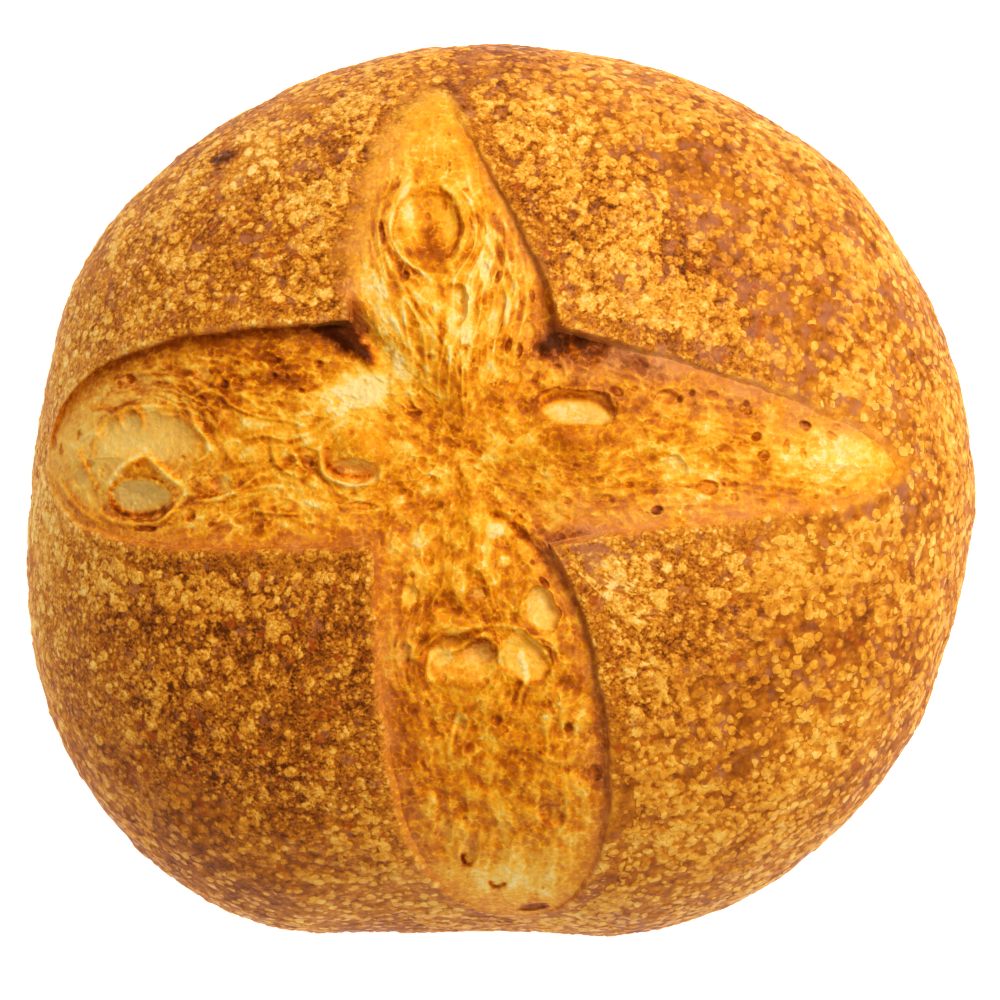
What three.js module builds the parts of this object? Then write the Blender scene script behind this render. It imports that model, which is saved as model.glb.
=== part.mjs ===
// A round sourdough loaf, baked on a hearth and scored with a cross that tore open as
// the dough sprang up. The crust and the crumb are one piece of bread, so it is one solid.
//
// Millimetres. +Z is up; +X is to the right and +Y to the back as one looks down on the
// loaf. The origin is on the ground, under the middle of the loaf's own box.

import * as THREE from 'three';
import { mergeVertices } from 'three/addons/utils/BufferGeometryUtils.js';

// ------------------------------------------------------------------ driving dimensions

const CROWN_HEIGHT = 102; // the dome's top above the ground
const DOME_SQUARENESS = 2.4; // 2 is a round dome; more is flatter on top
const WAIST_HEIGHT = 36; // height of the widest level
const SEAT_TUCK = 27; // how far the underside curls in below the widest level

// Plan radius of the widest level, every 15 degrees round from +X.
const WAIST_RADII = [
  115.2, 114.9, 114.5, 113.5, 111, 108.7, 108.8, 109.8, 110.7, 112.8, 115.3, 113.7,
  113.8, 118, 122.4, 124, 121.1, 112, 108, 112.4, 115.5, 116.2, 116.2, 115,
];

// The front has slumped: there the widest level is close to the ground.
const SLUMP = { heading: 265, spread: 38, waistDrop: 23, tuckLoss: 19 };

// The cross. Its arms start at the crossing, and neighbouring arms share a corner of crust.
const CROSSING = [-8, 9.5];
const CROSSING_SINK = 5; // how deep the crumb lies there, below the dome
const CORNER_NE = [14.5, 38.5];
const CORNER_NW = [-35, 40];
const CORNER_SW = [-29.5, -12.5];
const CORNER_SE = [12, -12.5];
const EDGE_ROUNDING = 11; // corners and tips turn within about this distance

// An arm's first edge runs from one corner out to the tip, and its second edge back to the
// next corner, anticlockwise round the opening. Each is bent by two control points. The lip
// is how far the torn crust stands up there, and the sink how deep the crumb lies below it.
const ARMS = [
  {
    tip: [95, 6],
    keelSink: 3,
    out: { corner: CORNER_SE, bends: [[38, -6], [92, -6]], lip: 0.6, sink: 1.6 },
    back: { corner: CORNER_NE, bends: [[94, 15], [60, 26]], lip: 2, sink: 5.5 },
  },
  {
    tip: [-13, 94.5],
    keelSink: 0.8,
    out: { corner: CORNER_NE, bends: [[9, 58], [-4, 78]], lip: 1.8, sink: 5 },
    back: { corner: CORNER_NW, bends: [[-27, 92], [-35, 60]], lip: 0.4, sink: 1.8 },
  },
  {
    tip: [-108, 8],
    keelSink: 3.4,
    out: { corner: CORNER_NW, bends: [[-68, 38], [-107, 38]], lip: 2.4, sink: 6.5 },
    back: { corner: CORNER_SW, bends: [[-108, -16], [-76, -14]], lip: 0.8, sink: 1.8 },
  },
  {
    tip: [4, -102.5],
    keelSink: 1,
    out: { corner: CORNER_SW, bends: [[-27, -52], [-30, -100]], lip: 0.5, sink: 1.6 },
    back: { corner: CORNER_SE, bends: [[36, -104], [28, -40]], lip: 2, sink: 5 },
  },
];

// Shares of an arm's length, from its corner.
const KEEL_SHORTFALL = 0.14; // the arm's deepest line stops this far short of its tip
const KEEL_BLEND = 0.3; // the crossing's depth gives way to the arm's over this
const CORNER_BLEND = 0.16; // an edge turns from its neighbour's lip to its own over this
const TIP_FADE = 4; // the higher, the closer to the tip its lip and its depth die out

// The torn edge in section. Distances are outside the edge, for a lip that stands clear of
// the crumb and for one that hangs over it as far as it can.
const LIP_FULL = 2.4; // a lip as high as this hangs as far as it can
const CRUMB_FOOT = -0.8; // where the crumb ends
const UNDERCUT = { clear: -0.3, hanging: 1.6, sinkShare: 0.6, drop: 0.4 };
const NOSE = { clear: 0.3, hanging: -0.7, lipShare: 0.3 };
const CREST = 1.8; // where the lip is highest
const LIP_BACK = 6; // where the lip gives way to the crust behind it
const LIP_BACK_SHARE = 0.35; // how much of the lip's height is left there
const NARROW = 20; // where the crust outside is narrower than this, the section is too

// The largest gas bubbles that the tear laid open: place, half length, half width, the
// heading of the length in degrees, and depth.
const BUBBLES = [
  { at: [-84.6, -1], half: [9, 5], heading: 2, depth: 3.2 },
  { at: [-85, 11], half: [10, 6], heading: 175, depth: 1.6 },
  { at: [-34, 8.5], half: [8, 6.5], heading: 170, depth: 1.8 },
  { at: [-16, 62], half: [9.5, 7], heading: 95, depth: 2.4 },
  { at: [18.5, 20.5], half: [9.5, 4], heading: 175, depth: 3.4 },
  { at: [10, -27.5], half: [6.5, 4.5], heading: 115, depth: 2.6 },
  { at: [-2, -39.5], half: [12, 5.5], heading: 8, depth: 2.8 },
];

const BUBBLE_SQUARENESS = 1.5; // 1 is a pointed hollow; more has a flatter floor

// ------------------------------------------------------------------------ mesh density

const COLUMNS_PER_EDGE = 22;
const CRUMB_ROWS = 6;
const CRUST_ROWS = 9;
const FLANK_ROWS = 5;
const MERGE_DISTANCE = 1e-3; // points closer than this are one point

// ------------------------------------------------------------------- the uncut boule

const { lerp, smoothstep, degToRad } = THREE.MathUtils;
const onPlan = ([x, y]) => new THREE.Vector2(x, y);

// A smooth closed run of values, read at any angle: a Catmull-Rom curve through them.
function aroundTheLoaf(values, angle) {
  const turns = angle / (2 * Math.PI);
  const place = (turns - Math.floor(turns)) * values.length;
  const step = Math.floor(place);
  const t = place - step;
  const [a, b, c, d] = [-1, 0, 1, 2].map((k) => values[(step + k + values.length) % values.length]);
  const slope = c - a;
  const bend = 2 * a - 5 * b + 4 * c - d;
  const twist = 3 * b - a - 3 * c + d;
  return b + (slope * t + bend * t ** 2 + twist * t ** 3) / 2;
}

// 1 in the middle of the slumped side, fading to 0 away from it.
function slumpAt(angle) {
  const middle = degToRad(SLUMP.heading);
  const offset = Math.atan2(Math.sin(angle - middle), Math.cos(angle - middle));
  return Math.exp(-((offset / degToRad(SLUMP.spread)) ** 2));
}

const waistRadius = (angle) => aroundTheLoaf(WAIST_RADII, angle);
const waistHeight = (angle) => WAIST_HEIGHT - SLUMP.waistDrop * slumpAt(angle);
const seatRadius = (angle) => waistRadius(angle) - SEAT_TUCK + SLUMP.tuckLoss * slumpAt(angle);

// Height of the dome as it was before the cuts opened.
function domeHeight(plan) {
  const angle = plan.angle();
  const share = Math.min(1, plan.length() / waistRadius(angle));
  const waist = waistHeight(angle);
  return waist + (CROWN_HEIGHT - waist) * Math.sqrt(1 - share ** DOME_SQUARENESS);
}

// ---------------------------------------------------------------------- the torn cross

function bubbleDepth(plan) {
  let depth = 0;
  for (const bubble of BUBBLES) {
    const local = plan.clone().sub(onPlan(bubble.at));
    local.rotateAround(new THREE.Vector2(), -degToRad(bubble.heading));
    const share = Math.hypot(local.x / bubble.half[0], local.y / bubble.half[1]);
    depth += bubble.depth * (1 - Math.min(1, share) ** 2) ** BUBBLE_SQUARENESS;
  }
  return depth;
}

// One column of the skin for a place on the edge of the opening. It holds what the profile
// there needs: where the edge is, which way is out, and the points that the rows run to.
// The place is at the share `along` of its curve, and at `reach` between corner and tip.
function makeColumn(arm, side, otherSide, curve, along, reach, rimAngle) {
  const edge = curve.getPointAt(along);
  const tangent = curve.getTangentAt(along);
  const rim = onPlan([Math.cos(rimAngle), Math.sin(rimAngle)]).multiplyScalar(waistRadius(rimAngle));
  const toRim = rim.clone().sub(edge).normalize();

  const ends = [side.corner, arm.tip].map(onPlan);
  const away = Math.min(...ends.map((end) => edge.distanceTo(end)));
  const turning = Math.exp(-((away / EDGE_ROUNDING) ** 2));
  const outward = onPlan([tangent.y, -tangent.x]).lerp(toRim, turning).normalize();

  const crossing = onPlan(CROSSING);
  const keelEnd = onPlan(arm.tip).lerp(crossing, KEEL_SHORTFALL);
  const fromCorner = smoothstep(reach, 0, CORNER_BLEND);
  const tipFade = 1 - reach ** TIP_FADE;
  return {
    edge,
    outward,
    rim,
    rimAngle,
    keel: crossing.clone().lerp(keelEnd, reach),
    keelSink: lerp(CROSSING_SINK, arm.keelSink, smoothstep(reach, 0, KEEL_BLEND)) * tipFade,
    edgeSink: lerp((side.sink + otherSide.sink) / 2, side.sink, fromCorner) * tipFade,
    lip: lerp((side.lip + otherSide.lip) / 2, side.lip, fromCorner) * tipFade,
    room: Math.min(1, rim.distanceTo(edge) / NARROW),
  };
}

// All the columns, anticlockwise round the opening.
function makeColumns() {
  const columns = [];
  const tipAngles = ARMS.map(({ tip }) => Math.atan2(tip[1], tip[0]));
  ARMS.forEach((arm, index) => {
    const before = (index + ARMS.length - 1) % ARMS.length;
    const after = (index + 1) % ARMS.length;
    const tipAngle = tipAngles[index];
    const halfwayTo = (other) => {
      const apart = tipAngles[other] - tipAngle;
      return tipAngle + Math.atan2(Math.sin(apart), Math.cos(apart)) / 2;
    };

    const { out, back, tip } = arm;
    const outCurve = new THREE.CubicBezierCurve(...[out.corner, ...out.bends, tip].map(onPlan));
    const backCurve = new THREE.CubicBezierCurve(...[tip, ...back.bends, back.corner].map(onPlan));

    for (let step = 0; step < COLUMNS_PER_EDGE; step++) {
      const along = step / COLUMNS_PER_EDGE;
      const angle = lerp(halfwayTo(before), tipAngle, along);
      columns.push(makeColumn(arm, out, ARMS[before].back, outCurve, along, along, angle));
    }
    for (let step = 0; step < COLUMNS_PER_EDGE; step++) {
      const along = step / COLUMNS_PER_EDGE;
      const angle = lerp(tipAngle, halfwayTo(after), along);
      columns.push(makeColumn(arm, back, ARMS[after].out, backCurve, along, 1 - along, angle));
    }
  });
  return columns;
}

// ------------------------------------------------------------------------- the profile

const onDome = (plan, rise) => new THREE.Vector3(plan.x, plan.y, domeHeight(plan) + rise);

// The place at a distance outside the torn edge.
function stepOut(column, distance) {
  return column.edge.clone().addScaledVector(column.outward, distance * column.room);
}

// Crumb, from the arm's keel line to the foot of the torn edge.
function crumbRows(column) {
  const foot = stepOut(column, CRUMB_FOOT);
  const rows = [];
  for (let step = 0; step <= CRUMB_ROWS; step++) {
    const across = step / CRUMB_ROWS;
    const plan = column.keel.clone().lerp(foot, across);
    const sink = lerp(column.keelSink, column.edgeSink, across ** 2);
    rows.push(onDome(plan, -sink - bubbleDepth(plan)));
  }
  return rows;
}

// The torn edge: undercut below, then the lip's nose, its crest and its back.
function lipRows(column) {
  const hang = Math.min(1, column.lip / LIP_FULL);
  const row = (distance, rise) => onDome(stepOut(column, distance), rise);
  const depth = UNDERCUT.sinkShare * column.edgeSink + UNDERCUT.drop;
  return [
    row(lerp(UNDERCUT.clear, UNDERCUT.hanging, hang), -depth),
    row(lerp(NOSE.clear, NOSE.hanging, hang), NOSE.lipShare * column.lip),
    row(CREST, column.lip),
    row(LIP_BACK, LIP_BACK_SHARE * column.lip),
  ];
}

// Crust, from behind the lip to the widest level. The rows crowd together towards the
// widest level, where the dome is steepest.
function crustRows(column) {
  const start = stepOut(column, LIP_BACK);
  const rows = [];
  for (let step = 1; step <= CRUST_ROWS; step++) {
    const share = Math.sin((Math.PI / 2) * (step / CRUST_ROWS));
    const swell = LIP_BACK_SHARE * column.lip * (1 - share) ** 3;
    rows.push(onDome(start.clone().lerp(column.rim, share), swell));
  }
  return rows;
}

// The underside, curling in from the widest level to the flat seat, and the seat's middle.
function flankRows(column) {
  const waist = waistRadius(column.rimAngle);
  const seat = seatRadius(column.rimAngle);
  const heading = column.rim.clone().normalize();
  const rows = [];
  for (let step = 1; step <= FLANK_ROWS; step++) {
    const turn = (Math.PI / 2) * (step / FLANK_ROWS);
    const plan = heading.clone().multiplyScalar(lerp(seat, waist, Math.cos(turn)));
    rows.push(new THREE.Vector3(plan.x, plan.y, waistHeight(column.rimAngle) * (1 - Math.sin(turn))));
  }
  rows.push(new THREE.Vector3(0, 0, 0));
  return rows;
}

// ---------------------------------------------------------------------------- the loaf

// Skins the columns as a closed surface. Rows that meet in one point or along the keel
// lines are joined there, and the triangles which that flattens are dropped.
function skin(profiles) {
  const columns = profiles.length;
  const rows = profiles[0].length;
  const sheet = new THREE.PlaneGeometry(1, 1, columns, rows - 1);
  const position = sheet.getAttribute('position');
  for (let row = 0; row < rows; row++) {
    for (let column = 0; column <= columns; column++) {
      const { x, y, z } = profiles[column % columns][row];
      position.setXYZ(row * (columns + 1) + column, x, y, z);
    }
  }
  sheet.deleteAttribute('normal');
  sheet.deleteAttribute('uv');

  const merged = mergeVertices(sheet, MERGE_DISTANCE);
  const kept = [];
  for (let start = 0; start < merged.index.count; start += 3) {
    const corners = [0, 1, 2].map((k) => merged.index.getX(start + k));
    const isFlattened = new Set(corners).size < 3;
    if (!isFlattened) kept.push(...corners);
  }
  merged.setIndex(kept);
  return merged;
}

function makeLoaf() {
  const profiles = makeColumns().map((column) => [
    ...crumbRows(column),
    ...lipRows(column),
    ...crustRows(column),
    ...flankRows(column),
  ]);
  const geometry = skin(profiles);

  geometry.computeBoundingBox();
  const middle = geometry.boundingBox.getCenter(new THREE.Vector3());
  geometry.translate(-middle.x, -middle.y, -geometry.boundingBox.min.z);
  geometry.computeVertexNormals();

  const crust = new THREE.MeshStandardMaterial({ color: 0xc9822f, roughness: 0.62, metalness: 0 });
  const loaf = new THREE.Mesh(geometry, crust);
  loaf.name = 'loaf';
  return loaf;
}

const bread = new THREE.Group();
bread.add(makeLoaf());

export default bread;
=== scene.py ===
"""A round hearth-baked sourdough loaf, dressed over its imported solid.

The loaf is one piece of bread, so it is one closed skin. A domed boule was scored with a
cross, and the score tore open in the oven: each of its four arms shows stretched crumb with
opened gas bubbles, below a lip of crust. The skin is built as columns that run from an
arm's middle line over the torn edge, across the crust, round the flank and under the loaf.

Shapes are worked out in millimetres in the frame's axes, and turned to metres at the end.
"""

from __future__ import annotations

import logging
import math
from dataclasses import dataclass, field, fields
from enum import Enum

import bpy
import numpy as np
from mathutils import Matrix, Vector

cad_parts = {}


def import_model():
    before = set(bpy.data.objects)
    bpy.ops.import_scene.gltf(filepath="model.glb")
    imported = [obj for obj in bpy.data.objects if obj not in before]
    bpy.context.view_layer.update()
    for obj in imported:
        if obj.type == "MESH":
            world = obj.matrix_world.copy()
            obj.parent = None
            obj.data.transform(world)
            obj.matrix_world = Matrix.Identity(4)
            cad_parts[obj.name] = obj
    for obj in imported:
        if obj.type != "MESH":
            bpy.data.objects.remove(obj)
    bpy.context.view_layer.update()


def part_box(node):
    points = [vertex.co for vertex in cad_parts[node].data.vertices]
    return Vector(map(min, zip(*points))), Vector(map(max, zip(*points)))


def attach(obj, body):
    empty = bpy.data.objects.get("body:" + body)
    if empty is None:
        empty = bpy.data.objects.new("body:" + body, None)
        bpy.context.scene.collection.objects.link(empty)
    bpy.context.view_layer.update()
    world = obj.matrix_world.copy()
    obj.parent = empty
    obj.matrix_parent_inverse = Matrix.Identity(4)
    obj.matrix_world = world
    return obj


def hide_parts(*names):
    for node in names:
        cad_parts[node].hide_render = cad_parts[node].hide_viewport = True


log = logging.getLogger("loaf")

MM = 0.001
Array = np.ndarray
Place = tuple[float, float]


# ---- helpers


def smoothstep(value: Array, low: float, high: float) -> Array:
    """Eases from 0, where the value is low or less, to 1, where it is high or more."""
    share = np.clip((value - low) / (high - low), 0, 1)
    return share * share * (3 - 2 * share)


def mix(start: Array, end: Array, share: Array) -> Array:
    """Blends from start, at a share of 0, to end, at a share of 1."""
    return start + (end - start) * share


def bell(distance: Array, width: float) -> Array:
    """A rounded bump: 1 at no distance, and nearly 0 past twice the width."""
    return np.exp(-((distance / width) ** 2))


def unit(vectors: Array) -> Array:
    """Vectors of the same direction and length 1."""
    return vectors / np.maximum(np.linalg.norm(vectors, axis=-1, keepdims=True), 1e-9)


def flat_points(plan: Array) -> Array:
    """Plan places as points in space, at height 0."""
    return np.concatenate([plan, np.zeros((*plan.shape[:-1], 1))], -1)


def catmull(a: Array, b: Array, c: Array, d: Array, t: Array) -> Array:
    """A Catmull-Rom curve from b to c, with a before them and d after them."""
    return 0.5 * (
        2 * b + (c - a) * t + (2 * a - 5 * b + 4 * c - d) * t**2
        + (3 * b - a - 3 * c + d) * t**3
    )


def around(values: tuple[float, ...], angle: Array) -> Array:
    """Reads a smooth closed run of evenly spaced values at any angle.

    Args:
        values: the run, anticlockwise from +X.
        angle: angles in radians.

    Returns:
        The run's value at each angle.
    """
    count = len(values)
    place = (angle / math.tau) % 1 * count
    step = np.floor(place).astype(int)
    run = np.asarray(values)
    return catmull(*(run[(step + k) % count] for k in (-1, 0, 1, 2)), place - step)


BEZIER_STEPS = 600  # how finely a curve's length is measured


def bezier(points: tuple[Place, ...], steps: Array) -> tuple[Array, Array]:
    """A cubic Bezier curve, read at even lengths.

    Args:
        points: its start, two control points and its end.
        steps: shares of its length, from 0 to 1.

    Returns:
        The places and the unit tangents there.
    """
    a, b, c, d = (np.array(point, float) for point in points)

    def place_at(t: Array) -> Array:
        """The curve's places at the parameters."""
        return (1 - t) ** 3 * a + 3 * (1 - t) ** 2 * t * b + 3 * (1 - t) * t**2 * c + t**3 * d

    even = np.linspace(0, 1, BEZIER_STEPS)[:, None]
    stride = np.linalg.norm(np.diff(place_at(even), axis=0), axis=1)
    length = np.concatenate([[0], np.cumsum(stride)])
    t = np.interp(steps * length[-1], length, even[:, 0])[:, None]
    slope = (1 - t) ** 2 * (b - a) + 2 * (1 - t) * t * (c - b) + t**2 * (d - c)
    return place_at(t), unit(slope)


def turned(plan: Array, middle: Place, heading: float) -> tuple[Array, Array]:
    """Reads places in axes of their own.

    Args:
        plan: places, with x and y last.
        middle: where the axes start.
        heading: which way the first axis points, in degrees.

    Returns:
        How far along and how far across each place is.
    """
    x, y = plan[..., 0] - middle[0], plan[..., 1] - middle[1]
    c, s = math.cos(math.radians(heading)), math.sin(math.radians(heading))
    return x * c + y * s, y * c - x * s


# Large primes that scramble a place and a seed into one number without a pattern.
PLACE_PRIMES = np.array([73856093, 19349663, 83492791])
SEED_PRIME, MIXING_PRIME = 2654435761, 1274126177
LOW_32_BITS, LOW_16_BITS = 0xFFFFFFFF, 0xFFFF


def lattice_value(cell: Array, seed: int) -> Array:
    """Fixed random numbers.

    Args:
        cell: whole-numbered places, with their three numbers last.
        seed: which of the endless sets to take.

    Returns:
        A number from -1 to 1 for each place, always the same for the same seed.
    """
    mixed = (cell * PLACE_PRIMES).astype(np.int64)
    code = mixed[..., 0] ^ mixed[..., 1] ^ mixed[..., 2] ^ (seed * SEED_PRIME)
    code = ((code ^ (code >> 13)) * MIXING_PRIME) & LOW_32_BITS
    return ((code ^ (code >> 16)) & LOW_16_BITS) / (LOW_16_BITS / 2) - 1


# Each octave's lattice is turned, in radians, and shifted, so that no grid lines show. The
# sum is widened to about -1 to 1.
OCTAVE_TURN, OCTAVE_SHIFT, NOISE_SPREAD = 0.6, 0.37, 1.6


def noise(points: Array, feature: float | Array, seed: int, octaves: int = 1) -> Array:
    """Smooth random values in space.

    Args:
        points: places, with x, y and z last.
        feature: size of a bump, in the points' unit, as one number or one for each axis.
        seed: which of the endless noises to take.
        octaves: how many noises are added, each half as large and half as strong.

    Returns:
        Values of about -1 to 1, one for each place.
    """
    total, strength, reach = 0.0, 1.0, 0.0
    for octave in range(octaves):
        turn = OCTAVE_TURN * (octave + 1)
        c, s = math.cos(turn), math.sin(turn)
        place = points / feature * 2**octave + OCTAVE_SHIFT * (octave + 1)
        place = place @ np.array([[c, s, 0], [-s * c, c * c, s], [s * s, -s * c, c]])
        cell = np.floor(place).astype(np.int64)
        t = place - cell
        t = t * t * t * (t * (t * 6 - 15) + 10)
        value = 0.0
        for i, j, k in np.ndindex(2, 2, 2):
            weight = (
                (t[..., 0] if i else 1 - t[..., 0])
                * (t[..., 1] if j else 1 - t[..., 1])
                * (t[..., 2] if k else 1 - t[..., 2])
            )
            value = value + weight * lattice_value(cell + np.array([i, j, k]), seed + octave)
        total, reach = total + value * strength, reach + strength
        strength /= 2
    return total / reach * NOISE_SPREAD


@dataclass(frozen=True)
class Swing:
    """A random unevenness: how strong it is, and its noise's feature, seed and octaves."""

    strength: float
    feature: float
    seed: int
    octaves: int = 1

    def at(self, points: Array) -> Array:
        """How far it swings at each point, from about -strength to strength."""
        return self.strength * noise(points, self.feature, self.seed, self.octaves)


def swings(parts: tuple[Swing, ...], points: Array) -> Array:
    """The sum of several swings at each point."""
    return sum(part.at(points) for part in parts)


CELL_JITTER = 0.45  # how far a cell's centre strays from the middle of its square


def cells(along: Array, across: Array, seed: int) -> tuple[Array, Array, Array]:
    """A plane of random cells, one in each unit square.

    Args:
        along: places along the first axis.
        across: places along the second axis.
        seed: which of the endless patterns to take.

    Returns:
        How far each place is from its cell's centre, how far it is from the cell's wall,
        and the cell's own random number from 0 to 1.
    """
    here = np.stack([np.floor(along), np.floor(across), np.zeros_like(along)], -1)
    nearest = np.full(along.shape, np.inf)
    second = np.full(along.shape, np.inf)
    pick = np.zeros(along.shape)
    for i, j in np.ndindex(3, 3):
        cell = here + np.array([i - 1, j - 1, 0])
        centre_along = cell[..., 0] + 0.5 + CELL_JITTER * lattice_value(cell, seed)
        centre_across = cell[..., 1] + 0.5 + CELL_JITTER * lattice_value(cell, seed + 1)
        gap = np.hypot(along - centre_along, across - centre_across)
        closer = gap < nearest
        second = np.where(closer, nearest, np.minimum(second, gap))
        pick = np.where(closer, lattice_value(cell, seed + 2) * 0.5 + 0.5, pick)
        nearest = np.minimum(nearest, gap)
    return nearest, second - nearest, pick


# ---- the uncut boule


@dataclass(frozen=True)
class Slump:
    """The side that spread towards the ground, where the widest level is low."""

    heading: float = 265
    spread: float = 38
    waist_drop: float = 23
    tuck_loss: float = 19

    def at(self, angle: Array) -> Array:
        """1 in the middle of the slumped side, fading to 0 away from it."""
        offset = np.angle(np.exp(1j * (angle - math.radians(self.heading))))
        return bell(offset, math.radians(self.spread))


@dataclass(frozen=True)
class Boule:
    """The domed round of dough before the score opened."""

    crown_height: float = 102
    squareness: float = 2.4
    waist_level: float = 36
    seat_tuck: float = 27
    slump: Slump = Slump()
    waist_radii: tuple[float, ...] = (
        115.2, 114.9, 114.5, 113.5, 111, 108.7, 108.8, 109.8, 110.7, 112.8, 115.3, 113.7,
        113.8, 118, 122.4, 124, 121.1, 112, 108, 112.4, 115.5, 116.2, 116.2, 115,
    )

    def waist_radius(self, angle: Array) -> Array:
        """Plan radius of the widest level."""
        return around(self.waist_radii, angle)

    def waist_height(self, angle: Array) -> Array:
        """Height of the widest level."""
        return self.waist_level - self.slump.waist_drop * self.slump.at(angle)

    def seat_radius(self, angle: Array) -> Array:
        """Plan radius of the flat underside."""
        tuck = self.seat_tuck - self.slump.tuck_loss * self.slump.at(angle)
        return self.waist_radius(angle) - tuck

    def dome(self, plan: Array) -> Array:
        """The domed top.

        Args:
            plan: places, with x and y last.

        Returns:
            Its height over each place.
        """
        angle = np.arctan2(plan[..., 1], plan[..., 0])
        share = np.minimum(1, np.hypot(plan[..., 0], plan[..., 1]) / self.waist_radius(angle))
        waist = self.waist_height(angle)
        return waist + (self.crown_height - waist) * np.sqrt(1 - share**self.squareness)


# ---- the torn cross


@dataclass(frozen=True)
class Strain:
    """Heights in mm: of strands along the arm, thin walls round small bubbles, and lumps."""

    strands: float
    webs: float
    lumps: float


class Pull(Enum):
    """How the crumb of an arm gave way."""

    STRANDED = Strain(0.34, 0.30, 0.30)
    WEBBED = Strain(0.15, 0.50, 0.35)
    LUMPY = Strain(0.10, 0.34, 0.70)


@dataclass(frozen=True)
class TornEdge:
    """One edge of an arm: a curve between a corner and the tip, and how the crust ends there.

    lip is how far the crust stands up, sink how deep the crumb lies at its foot, blend how
    gradually the crust's colour gives way to the crumb's, browning how dark the crumb is
    beside it, and rosy how far it baked to a dry, pinkish tan there. pocket is the share of
    the edge over which the corner's depth fades.
    """

    corner: Place
    bends: tuple[Place, Place]
    lip: float
    sink: float
    blend: float
    browning: float
    rosy: float
    pocket: float = 0.3


@dataclass(frozen=True)
class Arm:
    """One arm of the cross. Its two edges run out from one corner and back to the next."""

    tip: Place
    heading: float
    pull: Pull
    keel_sink: float
    tone: float
    out: TornEdge
    back: TornEdge


@dataclass
class Columns:
    """What the skin's profile needs at each place round the opening, as arrays."""

    edge: Array
    outward: Array
    rim: Array
    rim_angle: Array
    keel: Array
    keel_sink: Array
    edge_sink: Array
    lip: Array
    blend: Array
    browning: Array
    rosy: Array
    tone: Array
    room: Array
    reach: Array

    def step_out(self, distance: Array) -> Array:
        """Places a distance outside the torn edge, or inside where it is negative."""
        return self.edge + self.outward * (np.asarray(distance) * self.room)[..., None]


NORTH_EAST, NORTH_WEST = (14.5, 38.5), (-35, 40)
SOUTH_WEST, SOUTH_EAST = (-29.5, -12.5), (12, -12.5)
CORNER_SINK = {NORTH_EAST: 5.6, NORTH_WEST: 5.2, SOUTH_WEST: 1.6, SOUTH_EAST: 3.4}


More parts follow.
